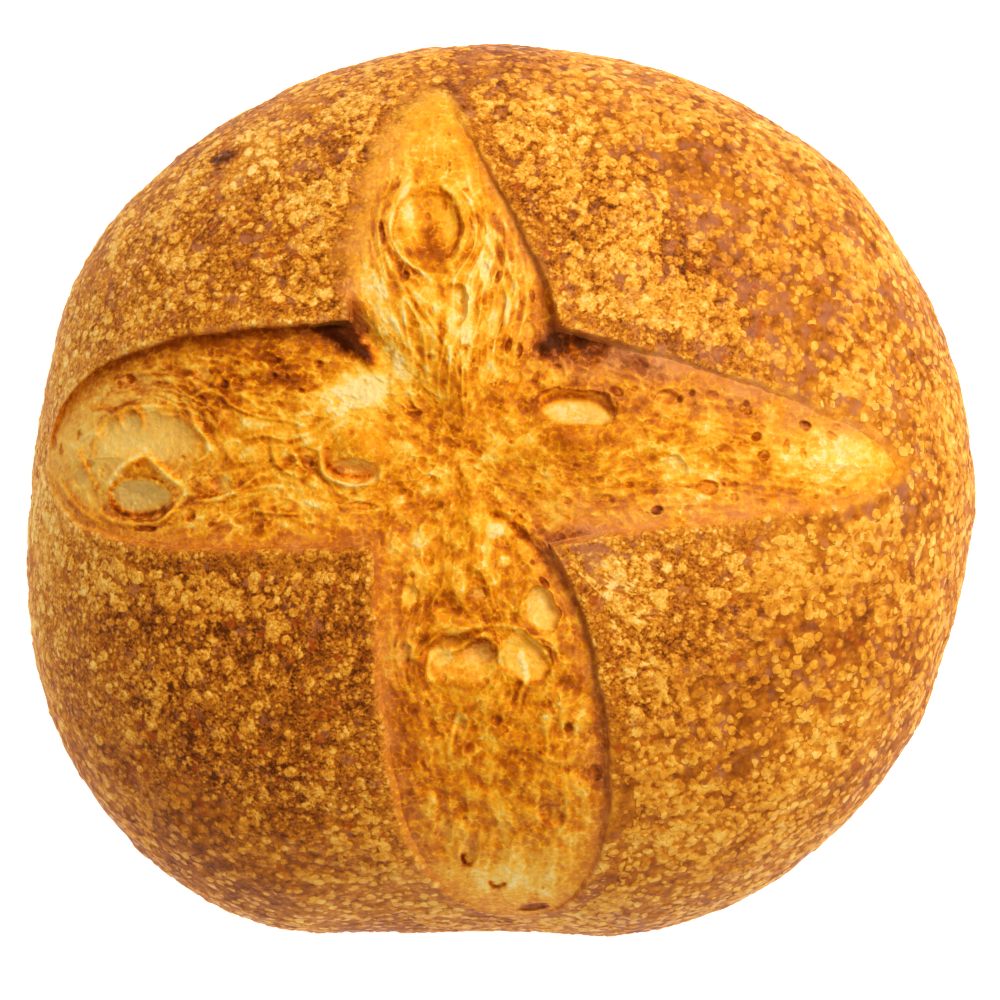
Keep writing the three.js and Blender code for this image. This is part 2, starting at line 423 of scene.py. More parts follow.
@dataclass(frozen=True)
class Cross:
    """The score that tore open, with its four arms anticlockwise from +X.

    foot is where the crumb ends, outside the torn edge. Where the crust outside is less wide
    than narrow, the lip is less wide too. corner_share, keel_share and tone_share are the
    shares of an arm's length, from its corner, over which it turns from the neighbour's or
    the crossing's values to its own. tip_blend is the crust's blend at the tips, and
    tip_dryness what is left there of the dry tan.
    """

    crossing: Place = (-8, 9.5)
    crossing_sink: float = 5
    crossing_tone: float = 0.6
    edge_rounding: float = 11
    keel_shortfall: float = 0.14
    narrow: float = 20
    foot: float = -0.8
    corner_share: float = 0.16
    keel_share: float = 0.3
    tone_share: float = 0.25
    tip_blend: float = 3.5
    tip_dryness: float = 0.2
    arms: tuple[Arm, ...] = (
        Arm(
            (95, 6), -2, Pull.LUMPY, 2.4, 0.55,
            TornEdge(SOUTH_EAST, ((38, -6), (92, -6)), 0.5, 1.2, 1.0, 0.02, 0.7),
            TornEdge(NORTH_EAST, ((94, 15), (60, 26)), 0.5, 1.3, 1.0, 0.09, 1.0),
        ),
        Arm(
            (-13, 94.5), 93, Pull.STRANDED, 0.4, 0.33,
            TornEdge(NORTH_EAST, ((9, 58), (-4, 78)), 1.1, 1.9, 0.8, 0.26, 0.50),
            TornEdge(NORTH_WEST, ((-27, 92), (-35, 60)), 0.0, 0.2, 4.5, 0.16, 0.45, 0.12),
        ),
        Arm(
            (-108, 8), 181, Pull.WEBBED, 3.0, 0.48,
            TornEdge(NORTH_WEST, ((-68, 38), (-107, 38)), 2.0, 5.2, 0.6, 0.4, 0.15),
            TornEdge(SOUTH_WEST, ((-108, -16), (-76, -14)), 0.8, 1.6, 1.0, 0.22, 0.30),
        ),
        Arm(
            (4, -102.5), 276, Pull.LUMPY, 1.0, 0.54,
            TornEdge(SOUTH_WEST, ((-27, -52), (-30, -100)), 0.5, 1.4, 1.2, 0.12, 0.35),
            TornEdge(SOUTH_EAST, ((36, -104), (28, -40)), 1.0, 2.2, 0.6, 0.22, 0.40),
        ),
    )

    def columns(self, boule: Boule, per_edge: int) -> Columns:
        """Places the skin's columns, anticlockwise round the opening.

        Args:
            boule: the round that the cross is cut into.
            per_edge: how many columns each edge gets.

        Returns:
            The columns' arrays, with 2 * per_edge columns for each arm.
        """
        tips = np.array([arm.tip for arm in self.arms], float)
        tip_angles = np.arctan2(tips[:, 1], tips[:, 0])
        steps = np.arange(per_edge) / per_edge
        parts = []
        for index, arm in enumerate(self.arms):
            last, after = self.arms[index - 1], self.arms[(index + 1) % len(self.arms)]
            here = tip_angles[index]
            start, end = (
                here + np.angle(np.exp(1j * (tip_angles[other % len(self.arms)] - here))) / 2
                for other in (index - 1, index + 1)
            )
            out = bezier((arm.out.corner, *arm.out.bends, arm.tip), steps)
            back = bezier((arm.tip, *arm.back.bends, arm.back.corner), steps)
            to_tip, to_corner = mix(start, here, steps), mix(here, end, steps)
            parts += [
                self._side(boule, arm, (arm.out, last.back), out, steps, to_tip),
                self._side(boule, arm, (arm.back, after.out), back, 1 - steps, to_corner),
            ]
        names = [item.name for item in fields(Columns)]
        return Columns(**{name: np.concatenate([part[name] for part in parts]) for name in names})

    def _side(
        self, boule: Boule, arm: Arm, sides: tuple[TornEdge, TornEdge],
        curve: tuple[Array, Array], reach: Array, rim_angle: Array,
    ) -> dict[str, Array]:
        """The columns along one edge.

        Args:
            boule: the round that the cross is cut into.
            arm: the arm that the edge belongs to.
            sides: the edge, and the one that it meets at the corner.
            curve: its places and tangents.
            reach: 0 at the corner, 1 at the tip.
            rim_angle: where each column meets the widest level.

        Returns:
            The arrays by the names that Columns gives them.
        """
        edge, tangent = curve
        heading = np.stack([np.cos(rim_angle), np.sin(rim_angle)], -1)
        rim = heading * boule.waist_radius(rim_angle)[:, None]
        ends = (sides[0].corner, arm.tip)
        away = np.minimum(*(np.linalg.norm(edge - np.array(place), axis=1) for place in ends))
        turning = bell(away, self.edge_rounding)[:, None]
        normal = np.stack([tangent[:, 1], -tangent[:, 0]], -1)
        crossing = np.array(self.crossing)
        keel_end = mix(np.array(arm.tip, float), crossing, self.keel_shortfall)
        from_corner = smoothstep(reach, 0, self.corner_share)
        from_pocket = smoothstep(reach, 0, sides[0].pocket)
        fade = 1 - reach**4

        def shared(name: str) -> Array:
            """A value of the edge, blended with its neighbour's towards the corner."""
            mine, theirs = (getattr(side, name) for side in sides)
            return mix((mine + theirs) / 2, mine, from_corner)

        corner_sink = CORNER_SINK[sides[0].corner]
        from_crossing = smoothstep(reach, 0, self.keel_share)
        return {
            "edge": edge,
            "outward": unit(mix(normal, unit(rim - edge), turning)),
            "rim": rim,
            "rim_angle": rim_angle,
            "keel": mix(crossing, keel_end, reach[:, None]),
            "keel_sink": mix(self.crossing_sink, arm.keel_sink, from_crossing) * fade,
            "edge_sink": mix(corner_sink, sides[0].sink, from_pocket) * fade,
            "lip": shared("lip") * fade,
            "blend": mix(shared("blend"), self.tip_blend, reach**8),
            "browning": shared("browning") * fade,
            "rosy": shared("rosy") * mix(1, self.tip_dryness, reach**3),
            "tone": mix(self.crossing_tone, arm.tone, smoothstep(reach, 0, self.tone_share)),
            "room": np.minimum(1, np.linalg.norm(rim - edge, axis=1) / self.narrow),
            "reach": reach,
        }


# ---- what the tear opened


@dataclass
class Relief:
    """What the tear did at each place of the crumb: its rise in mm, and shifts of colour."""

    rise: Array
    brown: Array
    pale: Array

    @classmethod
    def none(cls, shape: tuple[int, ...]) -> Relief:
        """No relief yet, for as many places as the shape holds."""
        return cls(*(np.zeros(shape) for _ in fields(cls)))


@dataclass(frozen=True)
class Bubble:
    """A gas bubble that the tear laid open, or a domed one where its depth is below 0.

    half is its half length and half width, and heading the way its length points. rim is
    how far its torn wall stands up, brown how much darker its floor is, and pale how much of
    the raw, ochre cream shows. lean points, along and across, to the side where the wall is
    steep; at the other side the floor runs out flat. Under the steep wall the floor is
    darkened further with painted shade, the more the deeper the bubble is. A pair of limits
    is where something starts and ends: from 0 in the middle to 1 at the outline for a rim,
    and as a share of the depth for the floor.
    """

    at: Place
    half: Place
    heading: float = 0
    depth: float = 1.0
    brown: float = 0.12
    pale: float = 0.0
    rim: float = 0.2
    lean: Place = (0, 0)

    wall: float = 0.4
    deepest: float = 0.55
    gentle: float = 2.0
    steepness: float = 5.0
    tilt: float = 0.4
    # Painted shade under the steep wall: how much darker the floor gets for each mm of depth, the
    # share of the outline over which it comes in, and where it ends.
    gloom: float = 0.06
    gloom_rim: Place = (0.45, 0.95)
    gloom_end: float = 1.04
    cover_rim: Place = (0.85, 1.1)
    floor_depth: Place = (0.02, 0.5)
    wall_paling: float = 0.3

    @property
    def size(self) -> float:
        """The radius of a circle of the same area."""
        return math.sqrt(self.half[0] * self.half[1])

    def covers(self, plan: Array) -> Array:
        """Where the bubble is.

        Args:
            plan: places, with x and y last.

        Returns:
            1 where a place lies inside the bubble, and 0 outside.
        """
        along, across = turned(plan, self.at, self.heading)
        share = np.hypot(along / self.half[0], across / self.half[1])
        return 1 - smoothstep(share, *self.cover_rim)

    def open(self, relief: Relief, plan: Array, ragged: Array) -> None:
        """Opens the bubble in the relief.

        Args:
            relief: what it is added to.
            plan: the relief's places.
            ragged: how far outlines waver there, as a share.
        """
        along, across = turned(plan, self.at, self.heading)
        u, v = along / self.half[0], across / self.half[1]
        near = (np.abs(u) < 2) & (np.abs(v) < 2)
        u, v = u[near], v[near]
        share = np.hypot(u, v) * (1 + ragged[near])
        side = (self.lean[0] * u + self.lean[1] * v) / np.sqrt(share**2 + 0.1)
        steep = np.clip(0.5 + 0.5 * side, 0, 1) * (self.depth > 0)
        bowl = np.maximum(0, 1 - share ** mix(self.gentle, self.steepness, steep))
        depth = min(self.depth, self.deepest * self.size)
        beyond = (share - 1) * self.size
        wall = self.rim * steep * bell(beyond - self.wall / 2, self.wall)
        relief.rise[near] += wall - depth * bowl * (1 + self.tilt * side * np.minimum(share, 1))
        inside = smoothstep(bowl, *self.floor_depth)
        # Painted shade on the floor under the steep wall, stronger for deeper bubbles.
        shade_under_wall = smoothstep(share, *self.gloom_rim) * (share < self.gloom_end)
        shade_under_wall = shade_under_wall * steep * max(0, depth)
        relief.brown[near] += (
            self.brown * inside + self.gloom * shade_under_wall - self.wall_paling * wall
        )
        relief.pale[near] += self.pale * inside


@dataclass(frozen=True)
class Web:
    """A torn wall or strand that stands up along a curve through its points.

    brown is how much darker its crest is. foot is painted shade: how much darker the crumb
    is beside a standing wall, out to foot_width times the crest's width. Where its height is
    below 0 it is a crease, and its brown is painted shade in the crease. Towards its ends it
    drops to end_height, over end_share of its length.
    """

    points: tuple[Place, ...]
    width: float = 0.7
    height: float = 0.9
    brown: float = -0.12
    # Painted shade beside a standing wall.
    foot: float = 0.28

    samples: int = 14
    reach: float = 5
    foot_width: float = 2.2
    end_height: float = 0.25
    end_share: float = 0.15

    def raise_on(self, relief: Relief, plan: Array, ragged: Array) -> None:
        """Raises the wall on the relief.

        Args:
            relief: what it is added to.
            plan: the relief's places.
            ragged: how far heights waver there, as a share.
        """
        run = np.array(self.points, float)
        ends = np.concatenate([2 * run[:1] - run[1:2], run, 2 * run[-1:] - run[-2:-1]])
        t = np.linspace(0, 1, self.samples, endpoint=False)[:, None]
        line = np.concatenate(
            [catmull(*ends[index : index + 4], t) for index in range(len(run) - 1)] + [run[-1:]]
        )
        room = self.reach * self.width
        near = np.all((plan > line.min(0) - room) & (plan < line.max(0) + room), axis=-1)
        places = plan[near]
        closest = np.full(len(places), np.inf)
        where = np.zeros(len(places))
        for index, (start, end) in enumerate(zip(line[:-1], line[1:])):
            step = end - start
            part = np.clip((places - start) @ step / (step @ step), 0, 1)
            gap = np.linalg.norm(places - start - part[:, None] * step, axis=1)
            where = np.where(gap < closest, (index + part) / (len(line) - 1), where)
            closest = np.minimum(closest, gap)
        inner = smoothstep(where, 0, self.end_share) * smoothstep(1 - where, 0, self.end_share)
        taper = mix(self.end_height, 1, inner)
        crest = bell(closest, self.width) * taper
        relief.rise[near] += self.height * crest * (1 + 3 * ragged[near])
        # A standing wall's brown is its own colour; a crease's, where the height is below 0, is
        # painted shade.
        relief.brown[near] += self.brown * crest
        # Painted shade beside a standing wall: foot darkens the crumb next to it.
        if self.height > 0:
            beside = bell(closest, self.foot_width * self.width) * taper - crest
            relief.brown[near] += self.foot * beside
        relief.pale[near] -= crest


@dataclass(frozen=True)
class Patch:
    """A soft patch, with how strong it is in the middle."""

    at: Place
    half: Place
    heading: float
    amount: float

    def at_places(self, plan: Array) -> Array:
        """The patch's strength at each place."""
        along, across = turned(plan, self.at, self.heading)
        return self.amount * bell(along, self.half[0]) * bell(across, self.half[1])


def pits(*spots: tuple[float, float, float]) -> tuple[Bubble, ...]:
    """Small dark pits, each from its x, its y and its radius."""
    return tuple(
        Bubble((x, y), (radius, 0.85 * radius), heading=35 * index, depth=0.9 * radius, brown=0.22)
        for index, (x, y, radius) in enumerate(spots)
    )


# The opened bubbles of each arm: place, half sizes, heading, depth, brown, pale, rim and
# lean, as Bubble names them.
EAST_BUBBLES = (
    Bubble((17.6, 19.6), (10.2, 4.3), -6, 3.2, -0.44, 0.35, 0.3, (0.1, 1)),
    Bubble((16.8, 12.6), (8.4, 4.0), 0, -1.3, 0.13),
    Bubble((38.8, 20.9), (3.6, 3.2), 20, 1.9, 0.04, 0.1, 0.3, (0.3, 1)),
    Bubble((27.6, 23.5), (1.9, 1.1), -30, 0.8, 0.1),
    Bubble((50, 22.6), (1.7, 1.4), 0, 0.9, 0.1, 0.2),
    Bubble((72.1, 15.6), (1.3, 1.8), 60, 1.6, 0.3, 0.0, 0.1, (1, 0)),
    Bubble((48.4, 1.1), (2.9, 2.1), 10, 1.7, 0.1, 0.1, 0.3, (0.8, 0.4)),
    Bubble((36.8, -4.3), (1.6, 1.1), 0, 1.6, 0.45),
    Bubble((40.7, 5.6), (3.3, 3.2), 0, 0.9, -0.1, 0.1, 0.3, (0.3, 0.9)),
    Bubble((25.2, -2), (1.9, 1.6), 0, 0.8, 0.15),
    Bubble((62, 8.5), (1.8, 1.5), 30, 0.7, 0.16),
    Bubble((67.5, 10.5), (0.9, 2.2), -8, 0.6, 0.22),
    Bubble((71.5, 8.7), (0.9, 1.8), 10, 0.6, 0.22),
    Bubble((78.5, 13.2), (1.5, 0.9), -30, 0.5, 0.18),
    *pits(
        (31.7, 24.2, 0.9), (35.7, 24.2, 0.6), (42.5, 21.9, 0.9), (45.2, 23.3, 0.9),
        (57.9, 20.8, 0.8), (63.3, 21, 0.6), (60.3, 13, 1.4), (55.1, -1.4, 1.3), (52.6, 1.8, 0.5),
        (9, 1.5, 0.8), (74.6, -1.1, 0.7), (81.3, 0.8, 0.7),
    ),
)
NORTH_BUBBLES = (
    Bubble((-15.7, 62.4), (10.2, 7.4), 96, 2.4, 0.03, 0.0, 0.1, (0.5, -0.6)),
    Bubble((-27.7, 61.6), (2.9, 0.7), 95, 1.4, 0.32),
    Bubble((-19.7, 51.3), (1.4, 1.2), 0, 1.0, 0.12, 0.3),
    Bubble((-10.1, 43.3), (4.7, 3.1), 100, 1.9, -0.12, 0.1, 0.35, (0.3, -0.8)),
    Bubble((-3.3, 51.3), (3.0, 1.3), 100, 0.8, -0.3),
    Bubble((0, 50.7), (1.5, 0.8), 70, 1.2, 0.35),
    Bubble((-0.6, 41.1), (6.1, 1.9), 76, 1.2, -0.1, 0.15, 0.3, (0, -0.6)),
    Bubble((7.7, 46), (1.9, 0.8), 95, 1.0, 0.28),
    Bubble((2.6, 48.1), (2.3, 1.0), 95, 0.7, -0.2),
    Bubble((6.8, 36.8), (3.7, 1.8), 85, 1.0, -0.15, 0.1),
    Bubble((2.1, 34.2), (2.1, 0.8), 80, 0.9, 0.25),
    Bubble((4.7, 33.1), (2.1, 0.8), 85, 0.9, 0.2),
    Bubble((3.7, 26.7), (3.3, 1.6), 85, 0.9, -0.12),
    Bubble((-3.5, 27.5), (3.0, 1.1), 75, 0.8, -0.15),
    Bubble((8.6, 26.9), (1.6, 0.9), 70, 0.9, 0.18),
    Bubble((-7.9, 33.8), (1.7, 0.9), 0, 0.8, 0.3),
    Bubble((-16.4, 31.5), (1.3, 0.8), 0, 0.9, 0.2, 0.3),
    Bubble((0.2, 72.7), (1.3, 0.9), 120, 1.4, 0.5),
    Bubble((-15, 76.6), (1.2, 0.5), 0, 0.5, 0.12),
    Bubble((-8, 71.2), (0.9, 0.6), 0, 0.6, 0.15),
)
WEST_BUBBLES = (
    Bubble((-82.5, 12.8), (13, 6), 175, 1.5, -0.06, 0.35, 0.15, (-0.8, -0.2)),
    Bubble((-84.6, 5.4), (6.4, 3.0), 0, -0.4, 0.18, -1.4),
    Bubble((-85.2, -1.7), (8.2, 4.8), -4, 3.2, -0.3, 0.6, 0.5, (-0.3, -0.9)),
    Bubble((-87.4, 17.6), (2.6, 2.5), 0, 0.6, 0.06, 0.1, 0.3),
    Bubble((-94.3, 15.8), (2.1, 2.8), 0, 0.5, 0.04, 0.1, 0.25),
    Bubble((-69.8, 26.8), (2.8, 2.7), 0, 1.0, 0.04, 0.3, 0.25),
    Bubble((-86.3, 26.4), (4.4, 2.2), 0, 1.2, 0.0, 0.3),
    Bubble((-87.7, 26.9), (1.2, 1.1), 0, 1.1, 0.16),
    Bubble((-90.4, 25.5), (0.8, 1.2), 0, 1.0, 0.25),
    Bubble((-65.5, 1.8), (2.8, 2.3), 0, 1.1, -0.05, 0.4),
    Bubble((-69.4, 15.2), (2.2, 1.6), 150, 1.0, 0.1),
    Bubble((-34.8, 4.9), (6.9, 2.9), -8, 2.6, -0.1, 0.55, 0.3, (0, -1)),
    Bubble((-32.5, 9.6), (6.6, 4.8), 0, -1.7, 0.1),
    Bubble((-37.9, 5.0), (1.4, 1.2), 0, 0.9, 0.1, 0.4),
    Bubble((-44.9, 6.9), (1.5, 1.5), 0, 1.2, 0.08, 0.5),
    Bubble((-32, -3.2), (3.3, 0.9), -5, 1.0, 0.2),
    Bubble((-99.9, 3.1), (1.9, 2.4), 0, 1.1, 0.05, 0.3),
    Bubble((-106.9, 11.7), (0.9, 1.9), 0, 1.0, 0.2),
    Bubble((-104.9, 9.7), (0.6, 2.3), 0, 1.0, 0.2),
    Bubble((-100.4, 13.7), (0.7, 1.9), -10, 0.8, 0.2),
    Bubble((-83.9, -8.6), (2.8, 0.8), 0, 0.8, 0.25),
    Bubble((-72.8, -5.7), (1.4, 1.7), 0, 1.1, 0.22, 0.0, 0.35),
    Bubble((-20.1, 18.6), (4.4, 1.8), 130, 0.5, 0.18),
    *pits(
        (-73.1, 30.5, 0.8), (-67.9, -7.6, 0.9), (-65.6, 31.9, 0.7), (-61.6, 30.4, 0.7),
        (-56.6, 30.2, 0.9), (-42.4, 30.1, 1.1), (-52.8, 27.3, 0.9), (-60.6, 25.9, 0.8),
        (-49.9, 27.3, 0.8), (-64.6, 25.5, 1.2), (-25.5, 32.6, 0.9),
    ),
)
SOUTH_BUBBLES = (
    Bubble((-1.2, -9), (2.8, 2.3), 0, -0.8, -0.34),
    Bubble((0.9, -16.2), (1.9, 1.7), 0, -0.6, -0.34),
    Bubble((-4, -17.9), (1.6, 2.8), 0, -0.5, -0.12),
    Bubble((-16.6, -15.8), (1.4, 2.1), 0, 0.6, 0.14, 0.0, 0.3),
    Bubble((-15.2, -3.2), (2.1, 1.4), 20, 0.6, 0.14, 0.0, 0.3),
    Bubble((-5.3, -23.7), (2.1, 1.5), 0, 0.9, -0.04, 0.5),
    Bubble((10.5, -21.1), (1.9, 0.9), -50, 1.6, 0.4),
    Bubble((-21, -24.1), (2.3, 3.0), 0, 1.1, -0.28, 0.1, 0.2, (0.6, 0.6)),
    Bubble((-11.7, -26.7), (3.3, 3.7), 0, 1.2, 0.1, 0.0, 0.2, (-0.8, -0.4)),
    Bubble((10.0, -27.9), (5.9, 3.9), 110, 3.0, -0.34, 0.4, 0.4, (0, -1)),
    Bubble((-22.3, -38.2), (2.5, 1.6), 90, 1.4, 0.1, 0.4, 0.3),
    Bubble((-9.6, -39.6), (10.3, 5.8), 0, 2.0, -0.14, 0.1, 0.3, (0, 1)),
    Bubble((-9.5, -43.6), (5.6, 3.2), 0, -0.9, 0.1),
    Bubble((-13.9, -38.6), (3.0, 2.2), 0, 0.5, -0.2, 0.3),
    Bubble((-4.6, -37.1), (4.4, 3.2), 0, 1.5, 0.04, 0.5, 0.2, (0.9, 0)),
    Bubble((6.1, -38.9), (6.2, 5.4), -40, 1.8, -0.26, 0.2, 0.35, (0.7, 0.7)),
    Bubble((5.6, -40.6), (2.4, 4.2), 0, -0.5, -0.2),
    Bubble((8.9, -36.4), (2.1, 2.3), 0, 1.0, -0.1, 0.4),
    Bubble((-9.7, -54.1), (1.9, 2.3), 0, 1.5, 0.05, 0.35),
    Bubble((-6, -54.6), (2.9, 1.9), 0, 0.6, 0.04),
    Bubble((-0.8, -53.4), (1.6, 1.6), 0, 0.5, 0.12, 0.0, 0.3),
    Bubble((22.6, -66.1), (1.9, 1.9), 0, 0.8, 0.2, 0.0, 0.2),
    Bubble((13, -76.4), (3.6, 3.0), -20, 1.3, 0.02, 0.15, 0.35, (0.2, -0.9)),
    Bubble((-13.1, -80.6), (2.9, 1.9), 85, 1.0, -0.05, 0.15),
    Bubble((0.9, -81.2), (3.5, 2.8), 70, 1.0, -0.08, 0.1),
    Bubble((-7.1, -85.4), (3.4, 2.1), 80, 2.6, 0.0, 0.2, 0.3, (-1, 0)),
    Bubble((-0.5, -93.5), (2.8, 1.4), 15, 2.0, 0.0, 0.3, 0.2, (0, -1)),
    Bubble((8, -100.1), (4.2, 1.0), 8, 1.6, 0.3),
    *pits(
        (-20.5, -19.4, 0.8), (-24.5, -21.4, 0.6), (7.7, -16.5, 0.7), (16.1, -55.2, 1.4),
        (-8.1, -77.2, 0.8),
    ),
)
# The torn walls that stand out, each with its points, width, height, brown and foot. Those with a
# height below 0 are creases whose brown is painted shade, and foot is painted shade beside a wall.
WEBS = (
    # Raised flaps at the north-west corner; their dark brown is partly their own colour and partly
    # painted shade of the pocket under the lip.
    Web(((-41, 41), (-36.5, 37.5), (-32.5, 33.2), (-28.6, 29.3)), 1.7, 2.2, 0.62, 0.0),
    Web(((-44, 39.5), (-38, 37), (-34, 33.6)), 1.8, 0.5, 0.42, 0.0),
    # Painted shadow: dark creases inside the west arm's large hole, along its lower rim and under
    # the flap above it.
    Web(((-92.6, -0.6), (-90.6, -4), (-86.5, -5.4), (-81, -4.8), (-78.4, -3)), 0.9, -0.8, 0.62),
    Web(((-92.6, 0.6), (-90, 2.8), (-86, 3.8), (-81, 3.0), (-77.8, 0.4)), 0.45, -0.5, 0.12),
    # Painted shadow under the upper rim of the east arm's large bubble.
    Web(((9, 20), (13, 22), (19, 22.3), (24.2, 20.6), (26.6, 17.6)), 1.0, -0.6, 0.5),
    # Painted shade: a dark crease between the north bubble's floor and its right rim.
    Web(((-22.2, 69), (-17, 71.8), (-11.8, 69.8), (-9.4, 63), (-10.8, 57), (-14.6, 53.2)),
        0.45, -0.4, 0.14),
    Web(((17, 37), (24, 33.6), (32, 30.6), (40, 28)), 1.3, 0.4, 0.3),
    Web(((12.5, 38), (10.5, 31), (9.6, 26.5)), 1.2, 0.3, 0.3),
    Web(((7, 19.5), (11.5, 23.3), (20.5, 24.4), (27, 22.3), (28.4, 17)), 0.6, 0.5, 0.06),
    Web(((-17, 73), (-21.9, 71.3), (-25.4, 67), (-25.3, 61.6), (-22.3, 55.6), (-17.5, 52.4)),
        1.2, 0.5),
    Web(((-20.3, 73.5), (-27.8, 67), (-28, 59.4), (-25, 52.4), (-20.2, 46.5)), 1.0, 0.5),
    Web(((-15, 73), (-10.1, 69.8), (-7.8, 62.6), (-9.6, 55.6), (-14, 52)), 1.1, 0.5),
    Web(((-8, 70), (-2.7, 62.6), (1.1, 57.2), (3.2, 49.1), (4.2, 41.1)), 0.7, 0.5),
    Web(((-30.5, 66), (-31.5, 57.3), (-28.8, 49.2), (-26.5, 43), (-21, 34.2), (-14.8, 25.5)),
        0.8, 0.15),
    Web(((-25, 52), (-19.5, 42), (-13, 33), (-8, 24)), 0.7, 0.12),
    Web(((-20, 46), (-14.5, 38), (-10, 30)), 0.6, 0.12),
    Web(((-3.5, 60), (0.2, 52), (1.8, 42), (-1.5, 30)), 0.6, 0.3),
    Web(((0, 66), (5, 55), (6.5, 45), (4.8, 36)), 0.6, 0.3),
    Web(((-72.4, 16.9), (-68.9, 12.3), (-68.6, 9), (-72.3, 6.4)), 0.5, 1.0),
    Web(((-72.4, 20.8), (-68.5, 18), (-65.4, 14.6)), 0.6, 0.8, 0.04),
    Web(((-84, 9.4), (-87.5, 7.4), (-90.8, 4.6), (-93.4, 0.6)), 0.9, 1.2, -0.3),
    Web(((-84, 9.9), (-81.4, 6.8), (-78, 3.6), (-74.2, 1.4)), 0.9, 1.4, -0.3),
    Web(((-95.3, -4.8), (-90, -7.2), (-82, -7.4), (-76.2, -4.2)), 0.7, 0.8, -0.1),
    Web(((-97, 8), (-95.5, 14), (-91, 18.6), (-83, 20.4), (-75, 19.5)), 0.6, 0.6, -0.05),
    Web(((-106, 4), (-101, -3), (-94, -8)), 0.6, 0.5, -0.05),
    Web(((-72, -2), (-66, -1.6), (-60, 1.4), (-56, 5)), 0.5, 0.7),
    Web(((-74, 22), (-70, 24), (-66.5, 29)), 0.5, 0.6),
    Web(((-67, 24), (-62, 20), (-55, 17.5), (-48, 17)), 0.5, 0.7),
    Web(((-62, 12), (-56, 13.5), (-50, 12.5), (-44, 14)), 0.5, 0.6),
    Web(((-53, 10), (-52, 6.5), (-46.5, 3.5), (-44.5, 5.5)), 0.6, 0.9),
    Web(((-49, 10.5), (-47, 7)), 0.6, 0.8),
    Web(((-41.9, 10), (-41, 4.4), (-35.4, 1.7), (-29.2, 2.7), (-27, 5.5)), 0.8, 1.2, -0.4),
    Web(((-40.6, 7.6), (-39.4, 5.4), (-35.6, 3.7), (-30.4, 3.9)), 0.5, -0.4, 0.26),
    Web(((-58.6, -3.8), (-52, -5), (-46, -5)), 0.5, 0.6),
    Web(((-100.8, 10.2), (-98.3, 5.6), (-95, -0.1)), 0.6, 0.8, 0.16),
    Web(((-98, 20), (-92.9, 20), (-90, 17), (-92, 14)), 0.5, 0.5, 0.08),
    Web(((-90, 19.5), (-87.3, 20.5), (-84.6, 17.5), (-85, 14)), 0.5, 0.5, 0.1),
    Web(((-17.3, -40.6), (-19, -37.9), (-14.2, -33.7), (-6.6, -31.7), (1.6, -31.3), (7.8, -34.4),
         (11.9, -39.9), (12.6, -46.2)), 0.7, 0.9),
    Web(((0.2, -40.6), (-0.5, -35.8), (-4.6, -33.7), (-10.1, -36.8), (-15.9, -37.9)), 0.6, 0.9),
    Web(((-15.9, -37.9), (-16.6, -42), (-14.9, -45.5)), 0.7, 0.7, -0.3),
    Web(((5, -37.9), (6.4, -43.4), (5, -47.5), (4.4, -51.7)), 0.7, 0.5, -0.3),
    Web(((-9, -50), (-11, -57), (-12, -63.5)), 0.7, 0.4, -0.3),
    # Painted shade: dark crescents under the steep walls of two bubbles near the south tip.
    Web(((-8.8, -86), (-8.2, -88.4), (-6, -89)), 0.7, -0.7, 0.75),
    Web(((-2.8, -93), (-0.4, -94.8), (2.2, -93.6)), 0.7, -0.6, 0.6),
    Web(((-3.2, -2.9), (1.6, -4.6), (5.7, -8), (10.2, -11.4), (13.7, -15.7)), 0.8, 0.7, 0.0),
    # Painted shade: a dark crease beside the ridge at the south-east corner.
    Web(((-3.5, -4.5), (0.9, -6.4), (4.6, -9.6), (9, -13.8), (12.2, -19)), 0.8, -0.9, 0.24),
)


@dataclass(frozen=True)
class TornNet:
    """Small torn cells of two sizes, with thin walls.

    Each mesh has its size, as a share of size, and how thick its walls are. small_share is
    the strength of the small one, and its change where the large one is full. hollow_reach
    is how far a cell's hollow reaches from its middle, and hollow_depth how deep it is where
    a wall rises by 1. Cells are browner or less brown than a typical one, by cell_brown.
    """

    size: Place = (3.6, 2.9)
    bend_size: float = 2.6
    bend_seed: int = 50
    meshes: tuple[Place, Place] = ((1.0, 0.17), (0.5, 0.26))
    small_share: Place = (0.75, -0.3)
    hollow_reach: float = 0.6
    hollow_depth: float = 1.9
    lowest_wall: float = 0.4
    hollow_brown: float = 0.12
    wall_brown: float = -0.26
    cell_brown: float = 0.18
    typical: float = 0.36

    def at(self, along: Array, across: Array, patchy: Array, seed: int) -> tuple[Array, Array]:
        """Reads the net.

        Args:
            along: places along the cells.
            across: places across them.
            patchy: where the larger ones show, from 0 to 1.
            seed: which of the endless patterns to take.

        Returns:
            How far each place rises, where a wall rises by 1, and how much browner it is.
        """
        points = np.stack([along, across, np.zeros_like(along)], -1)
        bend = noise(points, self.bend_size, seed + self.bend_seed)
        along, across = along + bend, across - bend
        rise, brown = 0.0, 0.0
        small = self.small_share[0] + self.small_share[1] * patchy
        for (scale, thin), strength in zip(self.meshes, (patchy, small)):
            nearest, wall, pick = cells(
                along / (scale * self.size[0]), across / (scale * self.size[1]), seed
            )
            hollow = np.maximum(0, self.hollow_reach - nearest) * pick**1.5
            ridge = bell(wall, thin) * mix(self.lowest_wall, 1, pick)
            rise = rise + strength * scale * (ridge - self.hollow_depth * hollow)
            brown = brown + strength * (
                self.hollow_brown * hollow + self.wall_brown * ridge
                + self.cell_brown * (pick - self.typical)
            )
            seed += 3
        return rise, brown


